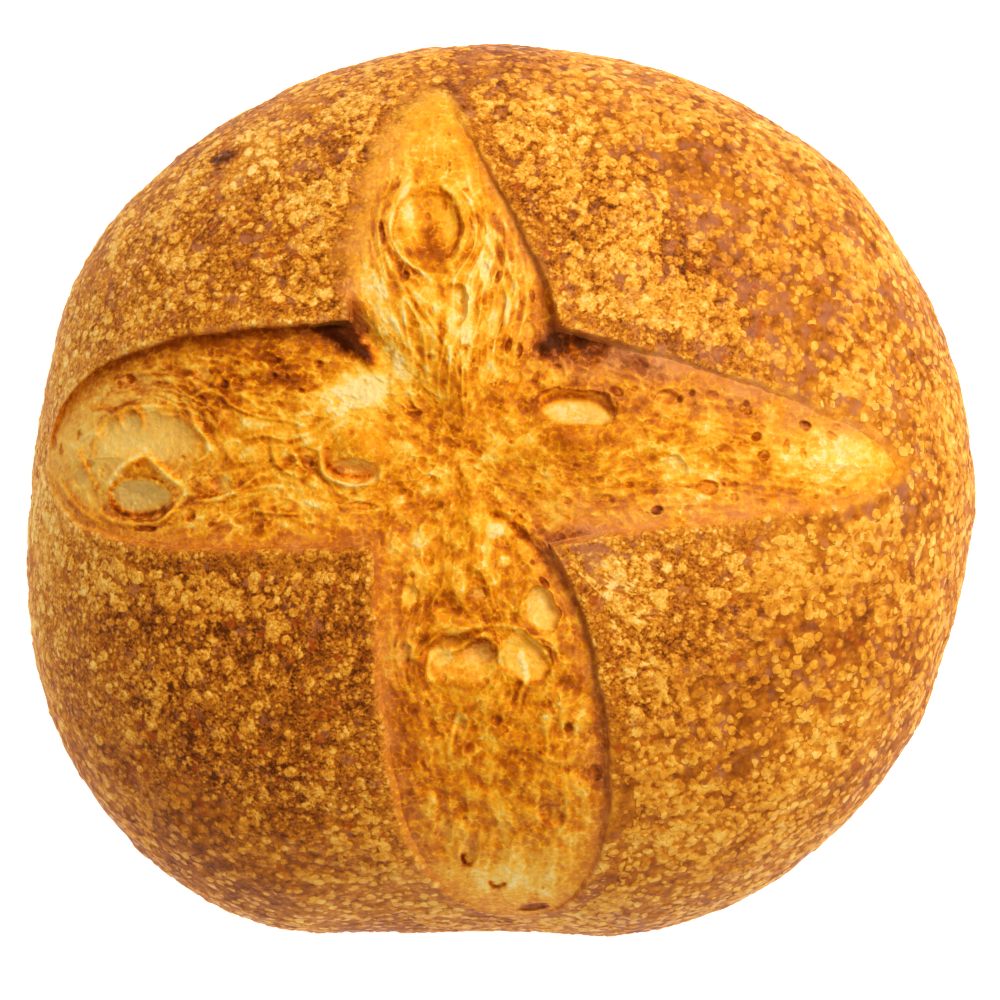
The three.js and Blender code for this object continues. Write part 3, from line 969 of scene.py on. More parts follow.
@dataclass(frozen=True)
class StrayPits:
    """Small pits at random places, mostly drawn out along their arm.

    Their radii are around size, and rows are the shares of the way to the torn edge between
    which they lie. A pit's depth is a share of its radius.
    """

    count: int = 160
    size: float = 0.42
    size_spread: float = 0.45
    largest: float = 1.1
    rows: Place = (0.02, 0.95)
    stretch: Place = (1, 1.8)
    turn: float = 25
    depth: float = 0.7
    rim: float = 0.15
    seed: int = 11

    def scattered(self, plan: Array, columns: Columns, cross: Cross) -> list[Bubble]:
        """Draws the pits.

        Args:
            plan: the crumb's places, as rows of columns.
            columns: the skin's columns.
            cross: the score.

        Returns:
            The pits.
        """
        rng = np.random.default_rng(self.seed)
        rows, across, _ = plan.shape
        width = np.linalg.norm(columns.edge - columns.keel, axis=1)
        column = rng.choice(across, self.count, p=width / width.sum())
        row = (rng.uniform(*self.rows, self.count) * rows).astype(int)
        size = self.size * rng.lognormal(0, self.size_spread, self.count)
        size = np.minimum(size, self.largest)
        stretch = rng.uniform(*self.stretch, self.count)
        turn = rng.normal(0, self.turn, self.count)
        per_arm = across // len(cross.arms)
        return [
            Bubble(
                tuple(plan[row[k], column[k]]), (size[k] * stretch[k], size[k]),
                heading=cross.arms[column[k] // per_arm].heading + turn[k],
                depth=self.depth * size[k], rim=self.rim,
            )
            for k in range(self.count)
        ]


@dataclass(frozen=True)
class Crumb:
    """The torn crumb: opened bubbles, torn walls, stretched strands, and how brown it is.

    Its grain is calmer at the torn edge, where edge_rise and edge_brown are left of it, out
    to quiet_edge, and in large bubbles, where bubble_rise and bubble_brown are left. All
    relief fades in over foot_rim from the edge. Strands part round bubbles larger than
    parting_size. An arm's own grain takes over from the crossing's over hold_range, and its
    strands calm down over tip_range, both as shares of its length. What is lighter than the
    arm's tone counts in full, and what is darker counts by dark_share.
    """

    bubbles: tuple[Bubble, ...] = EAST_BUBBLES + NORTH_BUBBLES + WEST_BUBBLES + SOUTH_BUBBLES
    webs: tuple[Web, ...] = WEBS
    browner: tuple[Patch, ...] = (
        Patch((-30.5, 25.2), (8.4, 5.6), 40, -0.74),
        Patch((-39, 22.6), (8, 2.6), 10, -0.26),
        Patch((-52, 15), (9, 5), 0, -0.12),
        Patch((-92, 9), (13, 12), 0, -0.2),
        Patch((80, 8.5), (12, 6), -8, -0.48),
        Patch((66, 10.5), (5, 5), 0, -0.12),
        Patch((4, -92), (13, 6), 4, -0.34),
        Patch((4, -94), (7, 3), 4, -0.14),
        # Painted shade: the dark pockets under the crust's corners, north-west and then north-east.
        Patch((-36.5, 38), (7, 3), -30, 0.32),
        Patch((16, 34), (7, 3.4), -25, 0.38),
        Patch((28, 28), (14, 3), -15, 0.04),
        Patch((-21.4, 66), (1.5, 5), 8, -0.5),
        Patch((-11.5, 63), (1.6, 6), 0, -0.2),
        Patch((-17.5, 56), (5, 3), 35, 0.18),
        Patch((-15.6, 60), (7, 2.6), 104, 0.32),
        Patch((-28, 44), (4, 16), 14, -0.2),
        Patch((-70, -4), (14, 4), -5, 0.14),
        Patch((-55, 27), (22, 8), 4, 0.26),
        Patch((-84, 11.5), (6, 1.6), 0, -0.25),
        Patch((-36, 14), (7, 5), 0, -0.06),
        Patch((-70, 18), (9, 5), -40, 0.05),
        Patch((-9, 86), (12, 8), 0, 0.1),
        Patch((17, -10.5), (6, 2.4), 12, 0.3),
        Patch((-4, -62), (16, 12), 0, 0.06),
        Patch((8, -68), (10, 12), 0, 0.06),
        Patch((-21, -62), (4.5, 20), 0, 0.2),
        Patch((25, -60), (3, 22), 0, 0.1),
        Patch((-6, -28), (8, 4), 0, 0.1),
        Patch((10, 66), (4, 14), 30, 0.1),
        Patch((38, 6), (14, 6), 0, -0.06),
    )
    paler: tuple[Patch, ...] = (
        Patch((-91, 10), (17, 15), 0, 0.85),
        Patch((-30, 25), (5, 3), 30, 0.2),
    )
    ragged: tuple[Swing, ...] = (Swing(0.12, 5, 101), Swing(0.08, 1.8, 102))
    foot_rim: Place = (0.8, 2.6)
    stray: StrayPits = StrayPits()
    fibre_length: float = 13.0
    fibre_width: float = 1.8
    fibre_sharpness: float = 5
    fine_share: float = 0.6
    gap_rim: Place = (0.1, 0.6)
    bend: Swing = Swing(1.2, 13, 59)
    net: TornNet = TornNet()
    net_patches: float = 8
    patch_rim: Place = (-0.5, 0.6)
    drawing_out: float = 1.4
    crossing_webs: float = 0.6
    crossing_lumps: float = 0.5
    knot_size: float = 2.2
    fleck_size: Place = (2.6, 1.1)
    lump_size: float = 4.2
    blotch_size: float = 4.5
    hold_range: Place = (0.02, 0.25)
    tip_range: Place = (0.6, 0.85)
    parting_size: float = 4.0
    quiet_edge: float = 8.0
    edge_rise: float = 0.25
    edge_brown: float = 0.4
    bubble_rise: float = 0.3
    bubble_brown: float = 0.4
    tip_calm: float = 1.7
    strand_rise: float = 0.7
    gap_rise: float = -0.6
    # The gaps between strands are browner: partly their own colour, partly painted shade.
    gap_brown: float = 0.6
    fibre_brown: float = -0.5
    fleck_rise: float = 0.2
    lump_brown: float = -0.12
    fleck_brown: float = -0.2
    blotch_brown: float = 0.17
    dark_share: float = 0.6

    def relief(self, plan: Array, offset: Array, columns: Columns, cross: Cross) -> Relief:
        """What the tear did to the crumb.

        Args:
            plan: the crumb's places, as rows of columns.
            offset: how far outside the torn edge each one is, so all below 0.
            columns: the skin's columns.
            cross: the score.

        Returns:
            The relief at each place.
        """
        relief = Relief.none(plan.shape[:-1])
        self._pulled(relief, plan, columns, cross)
        calm = smoothstep(-offset, 1, self.quiet_edge)
        within = np.zeros(calm.shape)
        for bubble in self.bubbles:
            if bubble.size > self.parting_size:
                within = np.maximum(within, bubble.covers(plan))
        relief.rise *= mix(self.edge_rise, 1, calm) * mix(1, self.bubble_rise, within)
        relief.brown *= mix(self.edge_brown, 1, calm) * mix(1, self.bubble_brown, within)

        flat = flat_points(plan)
        ragged = swings(self.ragged, flat)
        for bubble in (*self.stray.scattered(plan, columns, cross), *self.bubbles):
            bubble.open(relief, plan, ragged)
        for web in self.webs:
            web.raise_on(relief, plan, ragged)
        for patch in self.browner:
            relief.brown += patch.at_places(plan)
        for patch in self.paler:
            relief.pale += patch.at_places(plan)
        relief.rise *= smoothstep(-offset, *self.foot_rim)
        return relief

    def _pulled(self, relief: Relief, plan: Array, columns: Columns, cross: Cross) -> None:
        """Adds the fibres, webs, lumps and flecks that each arm pulled into.

        Args:
            relief: what they are added to.
            plan: the crumb's places, as rows of columns.
            columns: the skin's columns.
            cross: the score.
        """
        flat = flat_points(plan)
        patchy = smoothstep(noise(flat, self.net_patches, 57, 2), *self.patch_rim)
        knot = noise(flat, self.knot_size, 55, 2)
        lumpy = noise(flat, self.lump_size, 51, 2)
        blotch = noise(flat, self.blotch_size, 53, 2)
        calm_net = self.net.at(plan[..., 0], plan[..., 1], patchy, 61)
        per_arm = plan.shape[1] // len(cross.arms)
        for index, arm in enumerate(cross.arms):
            part = slice(index * per_arm, (index + 1) * per_arm)
            along, across = turned(plan[:, part], cross.crossing, arm.heading)
            flow = across + self._parting(plan[:, part], arm)
            bent = flow + self.bend.at(flat[:, part])
            hold = smoothstep(columns.reach[part], *self.hold_range)
            tip = smoothstep(columns.reach[part], *self.tip_range)
            strain = arm.pull.value
            even = 1 - self.tip_calm * strain.strands * tip

            def stretched(length: float, width: float, seed: int) -> Array:
                """Noise that is drawn out along the arm."""
                return noise(
                    np.stack([along / length, bent / width, np.zeros_like(along)], -1), 1.0, seed
                )

            coarse = np.abs(stretched(self.fibre_length, self.fibre_width, 31 + index))
            fine = np.abs(stretched(self.fibre_length / 2, self.fibre_width / 2, 35 + index))
            fibre, fine_fibre = (
                (1 - strand).clip(0) ** self.fibre_sharpness for strand in (coarse, fine)
            )
            fibre = fibre + self.fine_share * fine_fibre
            gap = smoothstep(coarse, *self.gap_rim)
            drawn_out = along / (1 + self.drawing_out * strain.strands)
            own_net = self.net.at(drawn_out, bent, patchy[:, part], 65 + 5 * index)
            net_rise, net_brown = (
                mix(calm[:, part], own, hold) for calm, own in zip(calm_net, own_net)
            )
            fleck = mix(knot[:, part], stretched(*self.fleck_size, 45 + index), 0.7 * hold)
            lump = mix(self.crossing_lumps, strain.lumps, hold) * lumpy[:, part]
            nets = mix(self.crossing_webs, strain.webs, hold)
            net_brown = net_brown * np.minimum(1, 2 * nets)
            strands = hold * strain.strands
            relief.rise[:, part] += even * (
                strands * self.strand_rise * (fibre + self.gap_rise * gap)
                + nets * net_rise + lump + self.fleck_rise * fleck
            )
            uneven = (
                net_brown + self.lump_brown * lump + self.fleck_brown * fleck
                + self.blotch_brown * blotch[:, part]
            )
            # The strands' gaps get their own brown and painted shade.
            relief.brown[:, part] += even * (
                strands * (self.gap_brown * gap + self.fibre_brown * fibre)
                + np.minimum(uneven, self.dark_share * uneven)
            )

    def _parting(self, plan: Array, arm: Arm) -> Array:
        """How far the strands of an arm swerve round its large bubbles.

        Args:
            plan: the arm's places.
            arm: the arm.

        Returns:
            How much the flow's line number at each place changes, in mm.
        """
        swerve = np.zeros(plan.shape[:-1])
        for bubble in self.bubbles:
            if bubble.size < self.parting_size:
                continue
            along, across = turned(plan, bubble.at, arm.heading)
            radius = np.maximum(np.hypot(along, across), bubble.size)
            swerve -= across * (bubble.size / radius) ** 2
        return swerve


# ---- how the oven baked it


@dataclass(frozen=True)
class Bake:
    """How the crust took the oven: how dark, where in golden clumps, and where smooth.

    Smooth crust has fewer clumps, by thinning. Small granules give way to larger ones over
    fine_range, which is a distance from the crossing that fine_lean shortens on the right.
    """

    level: float = 0.65
    darker: tuple[Patch, ...] = (
        Patch((-66, -46), (46, 44), 30, 0.22),
        Patch((-112, 0), (20, 80), 0, -0.2),
        Patch((-62, 58), (40, 14), 38, 0.1),
        Patch((-40, 52), (10, 8), 0, 0.08),
        Patch((58, 56), (12, 18), -30, 0.1),
        Patch((7, 77), (8, 18), 15, 0.12),
        Patch((32, 60), (26, 22), 0, 0.07),
        Patch((46, -48), (30, 24), 0, 0.14),
        Patch((0, 100), (70, 14), 0, 0.03),
        Patch((74, 26), (44, 62), 0, 0.05),
        Patch((-60, 80), (12, 7), 40, -0.12),
        Patch((26, -26), (9, 12), 0, -0.11),
        Patch((-66, 79.8), (3.4, 1.3), 30, 1.0),
        Patch((0, -108), (60, 10), 0, 0.02),
    )
    smooth: tuple[Patch, ...] = (
        Patch((61, 44), (14, 8), -60, 0.14),
        Patch((47, 64), (9, 6), 0, 0.42),
        Patch((33, 81), (8, 5), 20, 0.4),
        Patch((82, 30), (8, 22), 0, 0.3),
        Patch((87, -8), (8, 7), 0, 0.4),
        Patch((20, -14.5), (12, 6), 0, 0.7),
        Patch((97, 0), (8, 40), 0, 0.3),
        Patch((18, -104), (30, 8), 0, 0.3),
        Patch((60, -45), (30, 25), 0, 0.16),
        Patch((66, 56), (44, 40), 0, 0.4),
        Patch((-62, 66), (46, 30), 30, 0.26),
        Patch((-10, 100), (40, 10), 0, 0.25),
    )
    unevenness: tuple[Swing, ...] = (Swing(0.06, 20, 71, 2), Swing(0.08, 5, 72, 2))
    smooth_swing: Swing = Swing(0.7, 2.8, 73, 3)
    smooth_range: Place = (0.25, 1.05)
    clump_level: float = 0.2
    clumps: tuple[Swing, ...] = (Swing(0.9, 4.0, 74, 3), Swing(0.4, 17, 75, 2))
    clump_range: Place = (-0.6, 0.7)
    thinning: float = 0.45
    fine_lean: float = 0.25
    fine_swing: Swing = Swing(8, 12, 76, 2)
    fine_range: Place = (74, 104)

    def values(self, place: Array, crossing: Place) -> dict[str, Array]:
        """Works out the crust's looks.

        Args:
            place: the skin's vertices.
            crossing: where the score's arms cross.

        Returns:
            The values by the names that the finish reads.
        """
        plan = place[..., :2]
        away = np.hypot(plan[..., 0] - crossing[0], plan[..., 1] - crossing[1])
        bake = self.level + sum(patch.at_places(plan) for patch in self.darker)
        bake = bake + swings(self.unevenness, place)
        smooth = sum(patch.at_places(plan) for patch in self.smooth)
        smooth = smoothstep(smooth + self.smooth_swing.at(place), *self.smooth_range)
        clump = self.clump_level + swings(self.clumps, place)
        clump = smoothstep(clump, *self.clump_range) * (1 - self.thinning * smooth)
        away = away + self.fine_lean * plan[..., 0] + self.fine_swing.at(place)
        outer = smoothstep(away, *self.fine_range)
        return {"bake": bake, "smooth": smooth, "clump": clump, "fine": 1 - outer}


@dataclass(frozen=True)
class Blisters:
    """The crust's small domed blisters.

    share is how many there are in each square millimetre, and log_radius the middle and the
    spread of the logarithms of their radii. They are more crowded towards crowded_side, and
    the two side_shares are for places further than side_reach on either side of the middle.
    """

    share: float = 0.19
    log_radius: Place = (0.08, 0.32)
    strength: Place = (0.45, 1)
    rise: float = 0.34
    crowd_level: float = 0.6
    crowding: Swing = Swing(0.9, 14, 61, 2)
    crowd_limits: Place = (0.08, 2)
    crowded_side: Place = (0.5, 0.3)
    side_reach: float = 60
    side_shares: Place = (0.45, 1.4)
    overlap: int = 6
    least_step: float = 0.05
    seed: int = 5

    def at(self, place: Array, first: int, last: int) -> Array:
        """Domes them over the crust.

        Args:
            place: the skin's vertices.
            first: the first row where a blister may have its middle.
            last: the row after the last one.

        Returns:
            From 0 to 1, how high on a blister each vertex lies.
        """
        rng = np.random.default_rng(self.seed)
        rows, count, _ = place.shape
        along = np.linalg.norm(np.roll(place, -1, axis=1) - place, axis=-1)
        down = np.linalg.norm(np.diff(place, axis=0, append=place[-1:]), axis=-1)
        area = (along * down)[first:last]
        total = int(area.sum() * self.share)
        weight = (area * self._crowd(place[first:last])).ravel()
        chosen = rng.choice(weight.size, total, p=weight / weight.sum())
        radius = rng.lognormal(*self.log_radius, total)
        strength = rng.uniform(*self.strength, total)
        high = np.zeros((rows, count))
        for pick, size, strong in zip(chosen, radius, strength):
            row, column = divmod(int(pick), count)
            row += first
            reach_down, reach_along = (
                int(size / max(step[row, column], self.least_step)) + 2 for step in (down, along)
            )
            top = max(row - reach_down, first - self.overlap)
            bottom = min(row + reach_down, rows - 1)
            window = np.arange(column - reach_along, column + reach_along + 1) % count
            block = place[top : bottom + 1, window]
            share = np.linalg.norm(block - place[row, column], axis=-1) / size
            dome = strong * smoothstep(1.2 - share, 0, 0.8)
            high[top : bottom + 1, window] = np.maximum(high[top : bottom + 1, window], dome)
        return high

    def _crowd(self, place: Array) -> Array:
        """How crowded the blisters are.

        Args:
            place: the skin's vertices.

        Returns:
            Each one's share, where 1 is neither crowded nor sparse.
        """
        crowd = np.clip(self.crowd_level + self.crowding.at(place), *self.crowd_limits)
        side = place[..., 0] * self.crowded_side[0] + place[..., 1] * self.crowded_side[1]
        return crowd * mix(*self.side_shares, smoothstep(side, -self.side_reach, self.side_reach))


# ---- the whole skin


@dataclass
class Skin:
    """The loaf's surface as rows of columns, from the arms' middle lines to the seat."""

    rows: list[Array] = field(default_factory=list)
    offset: list[Array] = field(default_factory=list)

    def add(self, place: Array, offset: Array | float) -> None:
        """Adds one row of vertices, and how far outside the torn edge they are."""
        self.rows.append(place)
        self.offset.append(offset * np.ones(len(place)))


@dataclass(frozen=True)
class LipSection:
    """The torn edge in section.

    Distances are outside the edge. Where there are two, the first is for a lip that stands
    clear of the crumb and the second for one that hangs over it as far as it can. Shares are
    of the lip's height or of the crumb's depth.
    """

    full: float = 2.4
    undercut: Place = (-0.9, 1.6)
    undercut_share: float = -0.6
    undercut_drop: float = -0.4
    nose: Place = (1.1, -0.8)
    nose_share: float = 0.3
    crest: float = 1.8
    back: float = 6.0
    back_share: float = 0.35
    dip_share: float = -0.3
    steps: tuple[int, ...] = (4, 5, 4, 7)

    def stations(self, columns: Columns, foot: float) -> Array:
        """The section's points.

        Args:
            columns: the skin's columns.
            foot: where the crumb ends.

        Returns:
            Each point's distance and its rise above the dome, for every column.
        """
        lip, sink = columns.lip, columns.edge_sink
        hang = np.minimum(1, lip / self.full)
        none = np.zeros_like(hang)
        drop = self.undercut_drop * np.minimum(1, 2 * lip)
        return np.stack([
            [none + foot - 1.2, -sink],
            [none + foot, -sink],
            [mix(*self.undercut, hang), self.undercut_share * sink + drop],
            [mix(*self.nose, hang), self.nose_share * lip],
            [none + self.crest, lip],
            [none + self.back, self.back_share * lip],
            [none + 2 * self.back - self.crest, self.dip_share * lip],
        ])


@dataclass
class Loaf:
    """The whole loaf: it builds the skin and dresses it.

    The crumb's browning and drying fade over browning_reach and drying_reach from the torn
    edge. Its colour ends at the edge over torn_range, counted in the edge's own blend, and
    torn_rows of the crust at the latest. plain_rows above the seat have no blisters.
    """

    boule: Boule = Boule()
    cross: Cross = Cross()
    crumb: Crumb = Crumb()
    bake: Bake = Bake()
    blisters: Blisters = Blisters()
    per_edge: int = 240
    crumb_rows: int = 80
    crust_rows: int = 140
    flank_rows: int = 34
    seat_rows: int = 10
    torn_rows: int = 30
    plain_rows: int = 4
    lip: LipSection = LipSection()
    edge_line: tuple[Swing, ...] = (Swing(0.3, 7, 3), Swing(0.14, 1.8, 4))
    crust_start: float = 0.35
    path_steps: int = 4000
    seat_hollow: float = 0.8
    swells: tuple[Swing, ...] = (Swing(0.5, 26, 51, 2), Swing(0.25, 7, 52, 2))
    swell_rim: Place = (1, 8)
    torn_swing: Swing = Swing(0.5, 4, 21, 2)
    torn_range: Place = (-0.6, 1.4)
    browning_reach: float = 4.5
    drying_reach: float = 8
    drying_level: float = 0.75
    drying_swing: Swing = Swing(0.5, 5, 23, 2)
    nose_paling: float = 0.14
    nose_middle: float = 0.9
    nose_width: float = 1.3
    pattern_room: float = 1.01

    def build(self) -> bpy.types.Object:
        """Builds the loaf's mesh.

        Returns:
            The new object, in metres, in the frame's axes.
        """
        columns = self.cross.columns(self.boule, self.per_edge)
        edge = flat_points(columns.edge)
        ragged = swings(self.edge_line, edge) * columns.room
        columns.edge = columns.edge + columns.outward * ragged[:, None]

        skin = Skin()
        self._add_crumb(columns, skin)
        first_lip = len(skin.rows)
        self._add_lip(columns, skin)
        first_crust = len(skin.rows)
        self._add_crust(columns, skin)
        waist_row = len(skin.rows) - 1
        self._add_flank(columns, skin)
        marks = (first_lip, first_crust, waist_row)

        smooth = np.stack(skin.rows)
        flat = self._unroll(smooth, columns, marks)
        place, values = self._roughen(smooth, np.stack(skin.offset), columns, marks)
        return self._to_object(self._fit_to_frame(place), flat, values, waist_row)

    def _add_crumb(self, columns: Columns, skin: Skin) -> None:
        """Adds the crumb, from an arm's middle line to the foot of the torn edge.

        Args:
            columns: the skin's columns.
            skin: what the rows are added to.
        """
        foot = columns.step_out(self.cross.foot)
        width = np.linalg.norm(columns.edge - columns.keel, axis=1)
        for step in range(self.crumb_rows + 1):
            across = step / self.crumb_rows
            plan = mix(columns.keel, foot, across)
            sink = mix(columns.keel_sink, columns.edge_sink, across**2)
            place = np.column_stack([plan, self.boule.dome(plan) - sink])
            skin.add(place, self.cross.foot - (1 - across) * width)

    def _add_lip(self, columns: Columns, skin: Skin) -> None:
        """Adds the torn edge: undercut, the lip's nose, its crest and its back.

        Args:
            columns: the skin's columns.
            skin: what the rows are added to.
        """
        stations = self.lip.stations(columns, self.cross.foot)
        for index, count in enumerate(self.lip.steps):
            for step in range(1, count + 1):
                distance, rise = catmull(*stations[index : index + 4], step / count)
                plan = columns.step_out(distance)
                skin.add(np.column_stack([plan, self.boule.dome(plan) + rise]), distance)

    def _add_crust(self, columns: Columns, skin: Skin) -> None:
        """Adds the crust, from behind the lip to the widest level, at even steps.

        Args:
            columns: the skin's columns.
            skin: what the rows are added to.
        """
        start = columns.step_out(self.lip.back)
        length = np.linalg.norm(columns.rim - start, axis=1)
        share = np.linspace(0, 1, self.path_steps)
        radius = mix(self.crust_start, 1, share)
        rise = self.boule.crown_height - self.boule.waist_level
        height = rise / self.boule.waist_radii[0] * np.sqrt(1 - radius**self.boule.squareness)
        path = np.concatenate([[0], np.cumsum(np.hypot(np.diff(radius), np.diff(height)))])
        even = np.interp(np.linspace(0, path[-1], self.crust_rows + 1), path, share)
        for step in even[1:]:
            plan = mix(start, columns.rim, step)
            swell = self.lip.back_share * columns.lip * (1 - step) ** 3
            place = np.column_stack([plan, self.boule.dome(plan) + swell])
            skin.add(place, self.lip.back + length * step)

    def _add_flank(self, columns: Columns, skin: Skin) -> None:
        """Adds the underside, curling in to the flat seat, and the seat.

        Args:
            columns: the skin's columns.
            skin: what the rows are added to.
        """
        angle = columns.rim_angle
        heading = np.stack([np.cos(angle), np.sin(angle)], -1)
        waist, seat = self.boule.waist_radius(angle), self.boule.seat_radius(angle)
        height = self.boule.waist_height(angle)
        beyond = skin.offset[-1]
        for step in range(1, self.flank_rows + 1):
            turn = math.pi / 2 * step / self.flank_rows
            radius = mix(seat, waist, math.cos(turn))
            level = height * (1 - math.sin(turn))
            skin.add(np.column_stack([heading * radius[:, None], level]), beyond + height * turn)
        for step in range(1, self.seat_rows + 1):
            share = 1 - step / self.seat_rows
            hollow = np.full_like(angle, self.seat_hollow * smoothstep(1 - share, 0, 0.3))
            place = np.column_stack([heading * (seat * share)[:, None], hollow])
            skin.add(place, beyond + height * math.pi / 2)

    def _unroll(self, place: Array, columns: Columns, marks: tuple[int, int, int]) -> Array:
        """Lays the skin out flat as two discs: down to the widest level, and below it.

        Args:
            place: the smooth skin.
            columns: its columns.
            marks: the rows where the lip starts, the crust starts and the widest level is.

        Returns:
            For the upper and the lower disc, each vertex's place in a unit square.
        """
        first_lip, _, waist_row = marks
        stride = np.linalg.norm(np.diff(place, axis=0), axis=-1)
        run = np.concatenate([np.zeros((1, stride.shape[1])), np.cumsum(stride, axis=0)])
        upper = place[..., :2].copy()
        outward = unit(columns.rim - columns.edge)
        beyond = (run - run[first_lip])[first_lip:, :, None]
        upper[first_lip:] = upper[first_lip] + outward * beyond
        heading = np.stack([np.cos(columns.rim_angle), np.sin(columns.rim_angle)], -1)
        lower = heading * (run[-1] - run)[..., None]
        upper_size = np.abs(upper[: waist_row + 1]).max()
        lower_size = np.abs(lower[waist_row:]).max()
        side = (upper_size + lower_size) * (1 + math.sqrt(0.5)) * self.pattern_room
        far = side - lower_size
        return np.stack([(upper + upper_size) / side, (lower + far) / side])

    def _roughen(
        self, place: Array, offset: Array, columns: Columns, marks: tuple[int, int, int],
    ) -> tuple[Array, dict[str, Array]]:
        """Gives the smooth skin its relief, and works out what the finish reads.

        Args:
            place: the vertices, as rows of columns.
            offset: how far outside the torn edge each one is.
            columns: the skin's columns.
            marks: the rows where the lip starts, the crust starts and the widest level is.

        Returns:
            The vertices with their relief, and the finish's values by name.
        """
        first_lip, first_crust, waist_row = marks
        normal = self._normals(place)
        rows, count, _ = place.shape
        inner = slice(0, first_lip)
        place = place.copy()

        waver = self.torn_swing.at(place) * columns.blend
        torn = 1 - smoothstep((offset + waver) / columns.blend, *self.torn_range)
        torn[first_crust + self.torn_rows :] = 0
        inward = np.minimum(0, offset)
        tone = columns.tone + columns.browning * np.exp(inward / self.browning_reach)
        rosy = columns.rosy * np.exp(inward / self.drying_reach)
        rosy = rosy * (self.drying_level + self.drying_swing.at(place))
        pale = np.zeros((rows, count))

        relief = self.crumb.relief(place[inner, :, :2], offset[inner], columns, self.cross)
        place[inner, :, 2] += relief.rise
        tone[inner] += relief.brown
        pale[inner] = relief.pale

        lower = 1 - smoothstep(np.arange(rows), waist_row, waist_row + self.flank_rows)[:, None]
        last = waist_row + self.flank_rows - self.plain_rows
        blister = self.blisters.at(place, first_crust, last)
        swell = swings(self.swells, place) * smoothstep(offset, *self.swell_rim)
        height = (swell + self.blisters.rise * blister) * lower
        place = place + normal * height[..., None]
        values = self.bake.values(place, self.cross.crossing)
        nose = bell(offset - self.nose_middle, self.nose_width)
        values["bake"] = values["bake"] - self.nose_paling * nose
        values |= {
            "torn": torn, "tone": tone, "rosy": rosy, "pale": pale, "blister": blister,
            "under": 1 - lower * np.ones((rows, count)),
        }
        return place, values

    def _normals(self, place: Array) -> Array:
        """The surface's outward directions, from its neighbours in the rows and columns."""
        along = np.roll(place, -1, axis=1) - np.roll(place, 1, axis=1)
        return unit(np.cross(np.gradient(place, axis=0), along))

    def _fit_to_frame(self, place: Array) -> Array:
        """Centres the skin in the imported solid's box and turns it to metres.

        Args:
            place: the vertices in millimetres.

        Returns:
            The vertices in metres, with the lowest at the solid's own lowest level.
        """
        low, high = (np.array(corner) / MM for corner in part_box("loaf"))
        middle = (low + high) / 2
        mine = (place.min(axis=(0, 1)) + place.max(axis=(0, 1))) / 2
        shift = np.array([middle[0] - mine[0], middle[1] - mine[1], low[2] - place[..., 2].min()])
        return (place + shift) * MM

    def _to_object(
        self, place: Array, flat: Array, values: dict[str, Array], waist_row: int,
    ) -> bpy.types.Object:
        """Turns the rows of columns into a closed mesh with its finish's values.

        Args:
            place: the vertices in metres.
            flat: their places on the flat pattern's upper and lower disc.
            values: the finish's values by name.
            waist_row: the row of the widest level, where the discs part.

        Returns:
            The new object.
        """
        rows, count, _ = place.shape
        grid = np.arange(rows * count).reshape(rows, count)
        merged = grid.copy()
        per_arm = 2 * self.per_edge
        local = np.arange(count) % per_arm
        partner = np.where(local > self.per_edge, per_arm - local, local)
        merged[0] = np.where(local == 0, 0, np.arange(count) - local + partner)
        merged[-1] = merged[-1, 0]

        def quads_of(numbers: Array) -> Array:
            """Each face's four corners, with those of the next row second and third."""
            beside = np.roll(numbers, -1, axis=1)
            return np.stack([numbers[:-1], numbers[1:], beside[1:], beside[:-1]], -1).reshape(-1, 4)

        used, quads = np.unique(quads_of(merged), return_inverse=True)
        quads = quads.reshape(-1, 4)
        disc = np.repeat(np.arange(rows - 1) >= waist_row, count)
        laid = flat.reshape(2, -1, 2)[disc.astype(int)[:, None], quads_of(grid)]
        keep = np.ones(quads.shape, bool)
        keep[:, 2] = quads[:, 1] != quads[:, 2]

        mesh = bpy.data.meshes.new("loaf_skin")
        mesh.vertices.add(len(used))
        mesh.vertices.foreach_set("co", place.reshape(-1, 3)[used].ravel())
        mesh.loops.add(int(keep.sum()))
        mesh.loops.foreach_set("vertex_index", quads[keep])
        mesh.polygons.add(len(quads))
        sizes = keep.sum(axis=1)
        mesh.polygons.foreach_set("loop_start", np.cumsum(sizes) - sizes)
        mesh.update(calc_edges=True)
        mesh.polygons.foreach_set("use_smooth", np.ones(len(quads), bool))
        unrolled = mesh.uv_layers.new(name="OFBake")
        unrolled.data.foreach_set("uv", laid[keep].astype(np.float32).ravel())
        for name, value in values.items():
            layer = mesh.attributes.new(name, "FLOAT", "POINT")
            layer.data.foreach_set("value", value.reshape(-1)[used].astype(np.float32))
        return bpy.data.objects.new("sourdough_loaf", mesh)


# ---- finishes


def linear(code: str) -> tuple[float, float, float, float]:
    """Turns an sRGB colour into the linear values that shaders take.

    Args:
        code: the colour as six hex digits.

    Returns:
        Red, green, blue and an alpha of 1.
    """
    parts = [int(code[at : at + 2], 16) / 255 for at in (0, 2, 4)]
    red, green, blue = (
        part / 12.92 if part <= 0.04045 else ((part + 0.055) / 1.055) ** 2.4 for part in parts
    )
    return red, green, blue, 1.0


Socket = bpy.types.NodeSocket
Tree = bpy.types.NodeTree

# Kinds of node.
MATH, RANGE, RAMP = "ShaderNodeMath", "ShaderNodeMapRange", "ShaderNodeValToRGB"
NOISE, VORONOI, MIX = "ShaderNodeTexNoise", "ShaderNodeTexVoronoi", "ShaderNodeMix"
SPLIT, BUMP = "ShaderNodeSeparateColor", "ShaderNodeBump"

